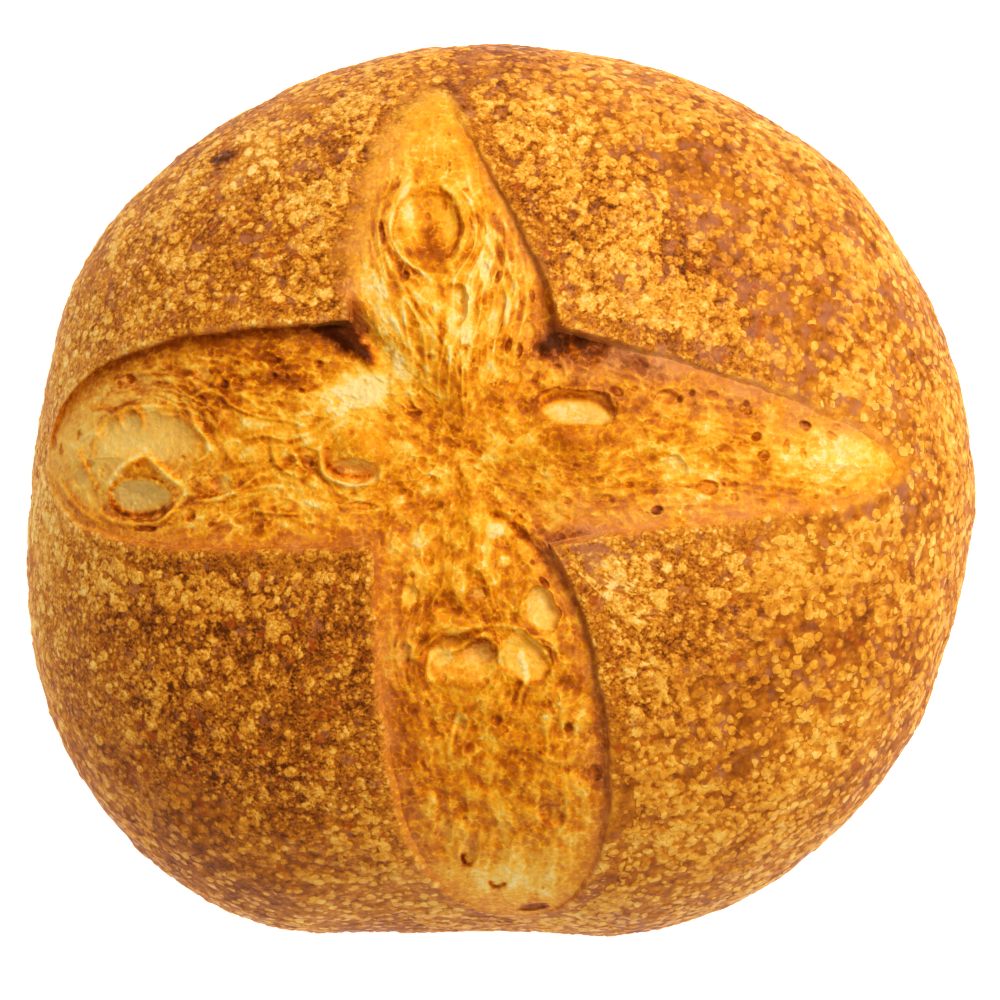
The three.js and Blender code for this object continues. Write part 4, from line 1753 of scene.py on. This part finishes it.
# Settings that several nodes share.
ADD, SUBTRACT = {"operation": "ADD"}, {"operation": "SUBTRACT"}
MULTIPLY, MULTIPLY_ADD = {"operation": "MULTIPLY"}, {"operation": "MULTIPLY_ADD"}
SMALLER, LARGER = {"operation": "MINIMUM"}, {"operation": "MAXIMUM"}
CLAMPED_ADD = {"operation": "ADD", "use_clamp": True}
CLAMPED_MULTIPLY = {"operation": "MULTIPLY", "use_clamp": True}
EASED = {"interpolation_type": "SMOOTHSTEP"}
COLOURS, NUMBERS = {"data_type": "RGBA"}, {"data_type": "FLOAT"}

# The inputs of a mix: its share, its two numbers or its two colours, and the output that
# gives the mixed colour.
SHARE, LOW, HIGH, FIRST, SECOND = 0, 2, 3, 6, 7
MIXED = 2


def node(
    tree: Tree, kind: str, settings: dict[str, object] | None = None,
    links: dict[str | int, Socket | float | tuple] | tuple = (), out: str | int = 0,
) -> Socket:
    """Adds a node with its settings and links.

    Args:
        tree: the tree it goes in.
        kind: the node's type name.
        settings: properties to set on it.
        links: a socket to link or a plain value for each input, by name or number or, as a
            tuple, for the first inputs in their order.
        out: which of its outputs to hand back.

    Returns:
        The output's socket.
    """
    made = tree.nodes.new(kind)
    for name, value in (settings or {}).items():
        setattr(made, name, value)
    for name, value in links.items() if isinstance(links, dict) else enumerate(links):
        if isinstance(value, Socket):
            tree.links.new(value, made.inputs[name])
        else:
            made.inputs[name].default_value = value
    return made.outputs[out]


def span(value: Socket, limits: Place, becomes: Place = (0.0, 1.0)) -> dict[str, Socket | float]:
    """A range's inputs: a value, its limits, and what becomes of them."""
    names = ("From Min", "From Max", "To Min", "To Max")
    return {"Value": value, **dict(zip(names, (*limits, *becomes)))}


@dataclass(frozen=True)
class Palette:
    """Colours that follow one another as a value grows from 0 to 1."""

    stops: tuple[tuple[float, str], ...]

    def paint(self, tree: Tree, value: Socket) -> Socket:
        """Builds the colour ramp.

        Args:
            tree: the tree it goes in.
            value: what it reads, from 0 to 1.

        Returns:
            The colour at each value.
        """
        colour = node(tree, RAMP, {}, {"Fac": value})
        elements = colour.node.color_ramp.elements
        for position, code in self.stops[2:]:
            elements.new(position)
        for element, (position, code) in zip(elements, self.stops):
            element.position = position
            element.color = linear(code)
        return colour


@dataclass(frozen=True)
class Surface:
    """What a finish hands on: its colour, its roughness and its height in metres."""

    colour: Socket
    roughness: Socket
    height: Socket


# How far apart the granules are, how large the mottle is, and how far it bends them.
GRAIN_MM, MOTTLE_MM, BEND_MM = 1.4, 2.6, 1.6


@dataclass(frozen=True)
class Grain:
    """The fine pattern of crust and crumb: small cells in a space that a mottle bends.

    away is how far each place is from its cell's middle, and pick and shade are two random
    numbers of the cell.
    """

    mottle: Socket
    space: Socket
    away: Socket
    pick: Socket
    shade: Socket

    @classmethod
    def make(cls, tree: Tree, space: Socket) -> Grain:
        """Builds the pattern's nodes.

        Args:
            tree: the tree they go in.
            space: places in metres.

        Returns:
            The pattern.
        """
        mottle = node(
            tree, NOISE, {},
            {"Vector": space, "Scale": 1 / (MOTTLE_MM * MM), "Detail": 3.0, "Roughness": 0.6},
        )
        bent = node(
            tree, "ShaderNodeVectorMath", MULTIPLY_ADD,
            (mottle.node.outputs["Color"], (BEND_MM * MM,) * 3, space),
        )
        away = node(tree, VORONOI, {}, {"Vector": bent, "Scale": 1 / (GRAIN_MM * MM)}, "Distance")
        pick = node(tree, SPLIT, {}, {"Color": away.node.outputs["Color"]}, "Red")
        return cls(mottle, bent, away, pick, pick.node.outputs["Green"])


@dataclass(frozen=True)
class BlisteredCrust:
    """Wheat crust, steamed and baked on a hearth: starch gel browned to a thin glossy skin.

    It gives the eye a dense sand of golden granules over brown ground, in shades that
    change from one to the next, with smooth golden blisters and, where the skin stretched,
    bare purplish brown. A pair named share holds a share, and its change where what it is
    named after is full. gloss is the roughness of the ground and of a grain.
    """

    disc_mm: float = 2.7
    sand_mm: float = 0.55
    rise_mm: float = 0.22
    granule_rim: Place = (0.25, 0.68)
    disc_rim: Place = (0.42, 0.56)
    blister_rim: Place = (0.2, 0.6)
    granule_edge: float = 6.0
    disc_edge: float = 20.0
    mottling: float = 0.8
    sanding: float = 0.34
    gilding: float = 0.28
    least_gilding: float = 0.2
    outer_gilding: float = -0.08
    golden_bare_share: Place = (0.7, -0.45)
    golden_rust_share: Place = (0.5, -0.5)
    outer_granule_share: Place = (0.8, -0.4)
    crowded_grain_share: Place = (0.2, 0.7)
    centring: float = -0.4
    gloss: Place = (0.55, 0.38)
    rusty: float = 0.88
    tones: Palette = Palette((
        (0.0, "FFDC90"), (0.2, "F7C45A"), (0.4, "E8A02E"), (0.6, "C8761A"), (0.8, "984F11"),
        (1.0, "5A2A08"),
    ))
    bare: str = "B26E50"
    rust: str = "B2460E"

    def make(self, tree: Tree, values: dict[str, Socket], space: Socket, grain: Grain) -> Surface:
        """Builds the crust's nodes.

        Args:
            tree: the tree they go in.
            values: the skin's values by name.
            space: places in metres.
            grain: the fine pattern.

        Returns:
            The crust's surface.
        """
        outer = node(tree, MATH, SUBTRACT, (1.0, values["fine"]))
        small = self._granules(tree, values["clump"], outer, grain)
        large, flat, tint = self._discs(tree, values["clump"], outer, grain)
        swollen = node(tree, RANGE, EASED, span(values["blister"], self.blister_rim))
        raised = node(tree, MATH, LARGER, (small, large))
        golden = node(tree, MATH, LARGER, (swollen, raised))
        tinted = node(tree, MATH, MULTIPLY, (large, tint))
        shade = node(tree, MATH, LARGER, (grain.shade, tinted))

        ground = self._ground(tree, values, space, grain)
        gilt = node(tree, MATH, MULTIPLY_ADD, (shade, self.gilding, self.least_gilding))
        gilt = node(tree, MATH, MULTIPLY_ADD, (outer, self.outer_gilding, gilt))
        gilt = node(tree, MATH, MULTIPLY, (golden, gilt))
        tone = node(tree, MATH, SUBTRACT, (ground, gilt))
        between = self._share(tree, golden, self.golden_bare_share)
        stretched = node(tree, MATH, MULTIPLY, (values["smooth"], between))
        browned = self.tones.paint(tree, tone)
        colour = node(
            tree, MIX, COLOURS, {SHARE: stretched, FIRST: browned, SECOND: linear(self.bare)}, MIXED
        )
        rusted = node(tree, MATH, {"operation": "GREATER_THAN"}, (tint, self.rusty))
        spot = node(tree, MATH, MULTIPLY, (flat, rusted))
        between = self._share(tree, golden, self.golden_rust_share)
        spot = node(tree, MATH, MULTIPLY, (spot, between))
        colour = node(
            tree, MIX, COLOURS, {SHARE: spot, FIRST: colour, SECOND: linear(self.rust)}, MIXED
        )
        roughness = node(tree, RANGE, {}, span(raised, (0.0, 1.0), self.gloss))
        height = node(tree, MATH, MULTIPLY, (raised, self.rise_mm * MM))
        return Surface(colour, roughness, height)

    def _granules(self, tree: Tree, clump: Socket, outer: Socket, grain: Grain) -> Socket:
        """Small domed granules, fewer in the outer part of the crust.

        Args:
            tree: the tree their nodes go in.
            clump: where they are dense, from 0 to 1.
            outer: how far out each place is, from 0 to 1.
            grain: the fine pattern.

        Returns:
            How high on a granule each place is.
        """
        dome = node(tree, RANGE, EASED, span(grain.away, self.granule_rim, (1.0, 0.0)))
        there = self._present(tree, grain.pick, clump, self.granule_edge)
        dome = node(tree, MATH, MULTIPLY, (dome, there))
        cover = self._share(tree, outer, self.outer_granule_share)
        return node(tree, MATH, MULTIPLY, (dome, cover))

    def _discs(
        self, tree: Tree, clump: Socket, outer: Socket, grain: Grain,
    ) -> tuple[Socket, Socket, Socket]:
        """Larger, flat golden discs in the outer part of the crust.

        Args:
            tree: the tree their nodes go in.
            clump: where they are dense, from 0 to 1.
            outer: how far out each place is, from 0 to 1.
            grain: the fine pattern.

        Returns:
            How high on a disc each place is, the same for discs that aren't shown too, and
            the disc's own random number.
        """
        away = node(
            tree, VORONOI, {}, {"Vector": grain.space, "Scale": 1 / (self.disc_mm * MM)}, "Distance"
        )
        pick = node(tree, SPLIT, {}, {"Color": away.node.outputs["Color"]}, "Red")
        flat = node(tree, RANGE, EASED, span(away, self.disc_rim, (1.0, 0.0)))
        there = self._present(tree, pick, clump, self.disc_edge)
        disc = node(tree, MATH, MULTIPLY, (flat, there))
        disc = node(tree, MATH, MULTIPLY, (disc, outer))
        return disc, flat, pick.node.outputs["Green"]

    def _ground(
        self, tree: Tree, values: dict[str, Socket], space: Socket, grain: Grain,
    ) -> Socket:
        """How brown the crust is between its grains.

        Args:
            tree: the tree its nodes go in.
            values: the skin's values by name.
            space: places in metres.
            grain: the fine pattern.

        Returns:
            The tone, as a place on the palette.
        """
        sand = node(
            tree, VORONOI, {}, {"Vector": space, "Scale": 1 / (self.sand_mm * MM)}, "Color"
        )
        grit = node(tree, SPLIT, {}, {"Color": sand}, "Red")
        level = node(tree, MATH, ADD, (values["bake"], self.centring))
        uneven = node(tree, MATH, MULTIPLY_ADD, (grain.mottle, self.mottling, level))
        speck = node(tree, MATH, SUBTRACT, (grit, 0.5))
        speck = node(tree, MATH, MULTIPLY, (speck, values["fine"]))
        return node(tree, MATH, MULTIPLY_ADD, (speck, self.sanding, uneven))

    def _present(self, tree: Tree, pick: Socket, crowd: Socket, edge: float) -> Socket:
        """Whether each grain is there.

        Args:
            tree: the tree its nodes go in.
            pick: the grain's own random number.
            crowd: where grains are dense, from 0 to 1.
            edge: how sudden the step from none to all is.

        Returns:
            1 where the grain is there, 0 where it isn't.
        """
        share = self._share(tree, crowd, self.crowded_grain_share)
        left = node(tree, MATH, SUBTRACT, (share, pick))
        return node(tree, MATH, CLAMPED_MULTIPLY, (left, edge))

    def _share(self, tree: Tree, value: Socket, shares: Place) -> Socket:
        """The first share, and the second one's change of it where the value is 1."""
        return node(tree, MATH, MULTIPLY_ADD, (value, shares[1], shares[0]))


@dataclass(frozen=True)
class TornCrumb:
    """Open wheat crumb, torn while hot and toasted: stretched gluten walls, glossy with starch.

    It gives the eye yellow fibres and walls over orange, browned hollows, ochre cream where
    the crumb stayed soft, and a dry tan along the torn edges. What is darker than the skin's
    own tone counts by dark_share, and held_back flattens the darkest tones, by a slope and a
    level. dry_shares are how much of the tan shows where the crumb is unburnt and burnt, and
    dry_grain how the finest grain changes it, by a slope and a level.
    """

    grain_mm: float = 0.9
    rise_mm: float = 0.16
    wall_rim: Place = (0.35, 0.75)
    graining: float = 0.45
    mottling: float = 0.6
    walling: float = -0.28
    shading: float = 0.14
    centring: float = -0.5
    dark_share: float = 0.6
    held_back: Place = (0.55, 0.36)
    browned: Place = (0.45, 0.8)
    veins: Place = (0.4, 0.6)
    vein_share: float = 0.5
    burnt: Place = (0.78, 0.95)
    dry_shares: Place = (0.78, 0.1)
    dry_grain: Place = (0.8, -0.4)
    gloss: Place = (0.34, 0.6)
    tones: Palette = Palette((
        (0.0, "FCE09A"), (0.18, "FCCF5C"), (0.36, "F9B62C"), (0.54, "EB960C"), (0.72, "CB6C00"),
        (0.88, "933F00"), (1.0, "4E1C00"),
    ))
    soft: str = "E8C066"
    dry: str = "E4A168"

    def make(self, tree: Tree, values: dict[str, Socket], space: Socket, grain: Grain) -> Surface:
        """Builds the crumb's nodes.

        Args:
            tree: the tree they go in.
            values: the skin's values by name.
            space: places in metres.
            grain: the fine pattern.

        Returns:
            The crumb's surface.
        """
        fine = node(
            tree, NOISE, {},
            {"Vector": space, "Scale": 1 / (self.grain_mm * MM), "Detail": 1.0, "Roughness": 0.5},
        )
        wall = node(tree, RANGE, EASED, span(grain.away, self.wall_rim))
        wall = node(tree, MATH, MULTIPLY, (wall, grain.pick))
        tone = self._tone(tree, values["tone"], fine, wall, grain)
        colour = self._softened(tree, self.tones.paint(tree, tone), tone, values["pale"], grain)
        colour = self._dried(tree, colour, tone, values["rosy"], fine)
        roughness = node(tree, RANGE, {}, span(fine, (0.0, 1.0), self.gloss))
        rise = self.rise_mm * MM
        height = node(tree, MATH, MULTIPLY, (wall, rise))
        height = node(tree, MATH, MULTIPLY_ADD, (fine, rise, height))
        return Surface(colour, roughness, height)

    def _tone(self, tree: Tree, level: Socket, fine: Socket, wall: Socket, grain: Grain) -> Socket:
        """How brown the crumb is, with its fine grain.

        Args:
            tree: the tree its nodes go in.
            level: the skin's own tone.
            fine: the finest grain.
            wall: how high on a small wall each place is.
            grain: the fine pattern.

        Returns:
            The tone, as a place on the palette.
        """
        uneven = node(tree, MATH, MULTIPLY_ADD, (fine, self.graining, self.centring))
        uneven = node(tree, MATH, MULTIPLY_ADD, (grain.mottle, self.mottling, uneven))
        uneven = node(tree, MATH, MULTIPLY_ADD, (grain.shade, self.shading, uneven))
        uneven = node(tree, MATH, MULTIPLY_ADD, (wall, self.walling, uneven))
        milder = node(tree, MATH, MULTIPLY, (uneven, self.dark_share))
        uneven = node(tree, MATH, SMALLER, (uneven, milder))
        tone = node(tree, MATH, ADD, (level, uneven))
        slope, height = self.held_back
        held_back = node(tree, MATH, MULTIPLY_ADD, (tone, slope, height))
        return node(tree, MATH, SMALLER, (tone, held_back))

    def _softened(
        self, tree: Tree, colour: Socket, tone: Socket, pale: Socket, grain: Grain,
    ) -> Socket:
        """Lays ochre cream over the crumb where it stayed soft.

        Args:
            tree: the tree the nodes go in.
            colour: the crumb's colour.
            tone: how brown the crumb is.
            pale: how soft it stayed, from 0 to 1.
            grain: the fine pattern.

        Returns:
            The new colour.
        """
        unbrowned = node(tree, RANGE, {}, span(tone, self.browned, (1.0, 0.0)))
        veined = node(tree, RANGE, {}, span(grain.mottle, self.veins, (self.vein_share, 1.0)))
        share = node(tree, MATH, CLAMPED_MULTIPLY, (pale, unbrowned))
        share = node(tree, MATH, MULTIPLY, (share, veined))
        return node(
            tree, MIX, COLOURS, {SHARE: share, FIRST: colour, SECOND: linear(self.soft)}, MIXED
        )

    def _dried(
        self, tree: Tree, colour: Socket, tone: Socket, rosy: Socket, fine: Socket,
    ) -> Socket:
        """Lays a dry tan over the crumb along the torn edges.

        Args:
            tree: the tree the nodes go in.
            colour: the crumb's colour.
            tone: how brown the crumb is.
            rosy: how dry it baked, from 0 to 1.
            fine: the finest grain.

        Returns:
            The new colour.
        """
        unburnt = node(tree, RANGE, {}, span(tone, self.burnt, self.dry_shares))
        slope, level = self.dry_grain
        grainy = node(tree, MATH, MULTIPLY_ADD, (fine, slope, level))
        share = node(tree, MATH, CLAMPED_ADD, (rosy, grainy))
        share = node(tree, MATH, MULTIPLY, (share, unburnt))
        return node(
            tree, MIX, COLOURS, {SHARE: share, FIRST: colour, SECOND: linear(self.dry)}, MIXED
        )


@dataclass(frozen=True)
class FlouredBase:
    """Hearth-baked underside: browned flat on the stone, dusty with semolina.

    It gives the eye a matte, darker brown with a pale, uneven dust.
    """

    dust_mm: float = 6.0
    dusted: Place = (0.42, 0.68)
    spread: Place = (0.45, 0.95)
    roughness: float = 0.85
    crust: str = "9A6430"
    dust: str = "D8BE94"

    def make(self, tree: Tree, over: Surface, under: Socket, space: Socket) -> Surface:
        """Lays the underside's finish over the crust's.

        Args:
            tree: the tree the nodes go in.
            over: the crust's surface.
            under: how far below the flank each place is, from 0 to 1.
            space: places in metres.

        Returns:
            The surface of both.
        """
        cloud = node(
            tree, NOISE, {}, {"Vector": space, "Scale": 1 / (self.dust_mm * MM), "Detail": 6.0}
        )
        dust = node(tree, RANGE, {}, span(cloud, self.dusted))
        base = node(
            tree, MIX, COLOURS,
            {SHARE: dust, FIRST: linear(self.crust), SECOND: linear(self.dust)}, MIXED,
        )
        share = node(tree, RANGE, {}, span(under, self.spread))
        colour = node(tree, MIX, COLOURS, {SHARE: share, FIRST: over.colour, SECOND: base}, MIXED)
        roughness = node(
            tree, MIX, NUMBERS, {SHARE: share, LOW: over.roughness, HIGH: self.roughness}
        )
        return Surface(colour, roughness, over.height)


@dataclass(frozen=True)
class BreadSkin:
    """The loaf's one material, from its floured base over the crust to the torn crumb."""

    crust: BlisteredCrust = BlisteredCrust()
    crumb: TornCrumb = TornCrumb()
    base: FlouredBase = FlouredBase()
    refraction: float = 1.14

    def make(self, names: tuple[str, ...]) -> bpy.types.Material:
        """Builds the material.

        Args:
            names: the skin's values that it reads.

        Returns:
            The new material.
        """
        material = bpy.data.materials.new("sourdough_crust_and_torn_crumb_hearth_baked")
        material.use_nodes = True
        tree = material.node_tree
        values = {
            name: node(tree, "ShaderNodeAttribute", {"attribute_name": name}, {}, "Fac")
            for name in names
        }
        space = node(tree, "ShaderNodeTexCoord", {}, {}, "Object")
        grain = Grain.make(tree, space)
        crust = self.crust.make(tree, values, space, grain)
        crust = self.base.make(tree, crust, values["under"], space)
        crumb = self.crumb.make(tree, values, space, grain)
        torn = values["torn"]
        height = node(
            tree, MIX, NUMBERS, {SHARE: torn, LOW: crust.height, HIGH: crumb.height}
        )
        looks = {
            "Base Color": node(
                tree, MIX, COLOURS,
                {SHARE: torn, FIRST: crust.colour, SECOND: crumb.colour}, MIXED,
            ),
            "Roughness": node(
                tree, MIX, NUMBERS, {SHARE: torn, LOW: crust.roughness, HIGH: crumb.roughness}
            ),
            "Normal": node(tree, BUMP, {}, {"Height": height, "Distance": 1.0}, "Normal"),
        }
        shader = tree.nodes["Principled BSDF"].inputs
        for name, socket in looks.items():
            tree.links.new(socket, shader[name])
        shader["IOR"].default_value = self.refraction
        return material


# ---- studio


@dataclass(frozen=True)
class Studio:
    """A pale floor, soft light from the upper right, and a camera straight overhead."""

    view_width: float = 243.6
    view_level: float = 36
    camera_height: float = 1600
    centre: Place = (-0.24, -1.83)
    sensor: float = 36
    far_clip: float = 20
    floor_size: float = 12
    floor_colour: str = "F2F2F0"
    floor_roughness: float = 0.9
    floor_tint: tuple[float, ...] = (0.98, 1, 1.05, 1)
    key_place: tuple[float, float, float] = (0.62, 0.55, 1.25)
    key_power: float = 18.3
    key_size: float = 0.7
    key_colour: str = "FFF6E4"
    surround: float = 0.45
    surround_colour: str = "FFF3DE"
    floor_glow: float = 0.79

    def build(self) -> None:
        """Builds the floor, the lights and the camera."""
        self._floor()
        self._lights()
        self._camera()

    def _floor(self) -> None:
        """Adds a wide pale floor."""
        bpy.ops.mesh.primitive_plane_add(size=self.floor_size)
        floor = bpy.context.object
        floor.name = "floor"
        material = bpy.data.materials.new("matt_white_board")
        material.use_nodes = True
        shader = material.node_tree.nodes["Principled BSDF"].inputs
        shader["Base Color"].default_value = linear(self.floor_colour)
        shader["Roughness"].default_value = self.floor_roughness
        shader["Emission Color"].default_value = self.floor_tint
        shader["Emission Strength"].default_value = self.floor_glow
        floor.data.materials.append(material)

    def _lights(self) -> None:
        """Adds the key light and the surrounding white."""
        world = bpy.data.worlds.new("white_surroundings")
        bpy.context.scene.world = world
        world.use_nodes = True
        background = world.node_tree.nodes["Background"].inputs
        background["Color"].default_value = linear(self.surround_colour)
        background["Strength"].default_value = self.surround
        key = bpy.data.lights.new("key", "AREA")
        key.energy = self.key_power
        key.size = self.key_size
        key.color = linear(self.key_colour)[:3]
        lamp = bpy.data.objects.new("key", key)
        lamp.location = self.key_place
        lamp.rotation_euler = lamp.location.to_track_quat("Z", "Y").to_euler()
        bpy.context.collection.objects.link(lamp)
        bpy.context.scene.view_settings.view_transform = "Standard"

    def _camera(self) -> None:
        """Adds the camera, looking straight down."""
        data = bpy.data.cameras.new("overhead")
        data.sensor_width = self.sensor
        data.lens = self.sensor * (self.camera_height - self.view_level) / self.view_width
        data.clip_end = self.far_clip
        camera = bpy.data.objects.new("overhead", data)
        camera.location = (self.centre[0] * MM, self.centre[1] * MM, self.camera_height * MM)
        bpy.context.collection.objects.link(camera)
        bpy.context.scene.camera = camera


# ---- main


def main() -> None:
    """Loads the frame, builds and dresses the loaf, and sets up the studio."""
    logging.basicConfig(level=logging.INFO, format="%(name)s: %(message)s")
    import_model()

    bread = Loaf().build()
    bread.data.materials.append(BreadSkin().make(tuple(
        name for name, layer in bread.data.attributes.items()
        if layer.data_type == "FLOAT" and layer.domain == "POINT"
    )))
    bpy.context.collection.objects.link(bread)
    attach(bread, "root")
    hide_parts("loaf")
    log.info("%s: %d faces", bread.name, len(bread.data.polygons))

    Studio().build()
    log.info("studio: floor, light and camera")


if __name__ == "__main__":
    main()
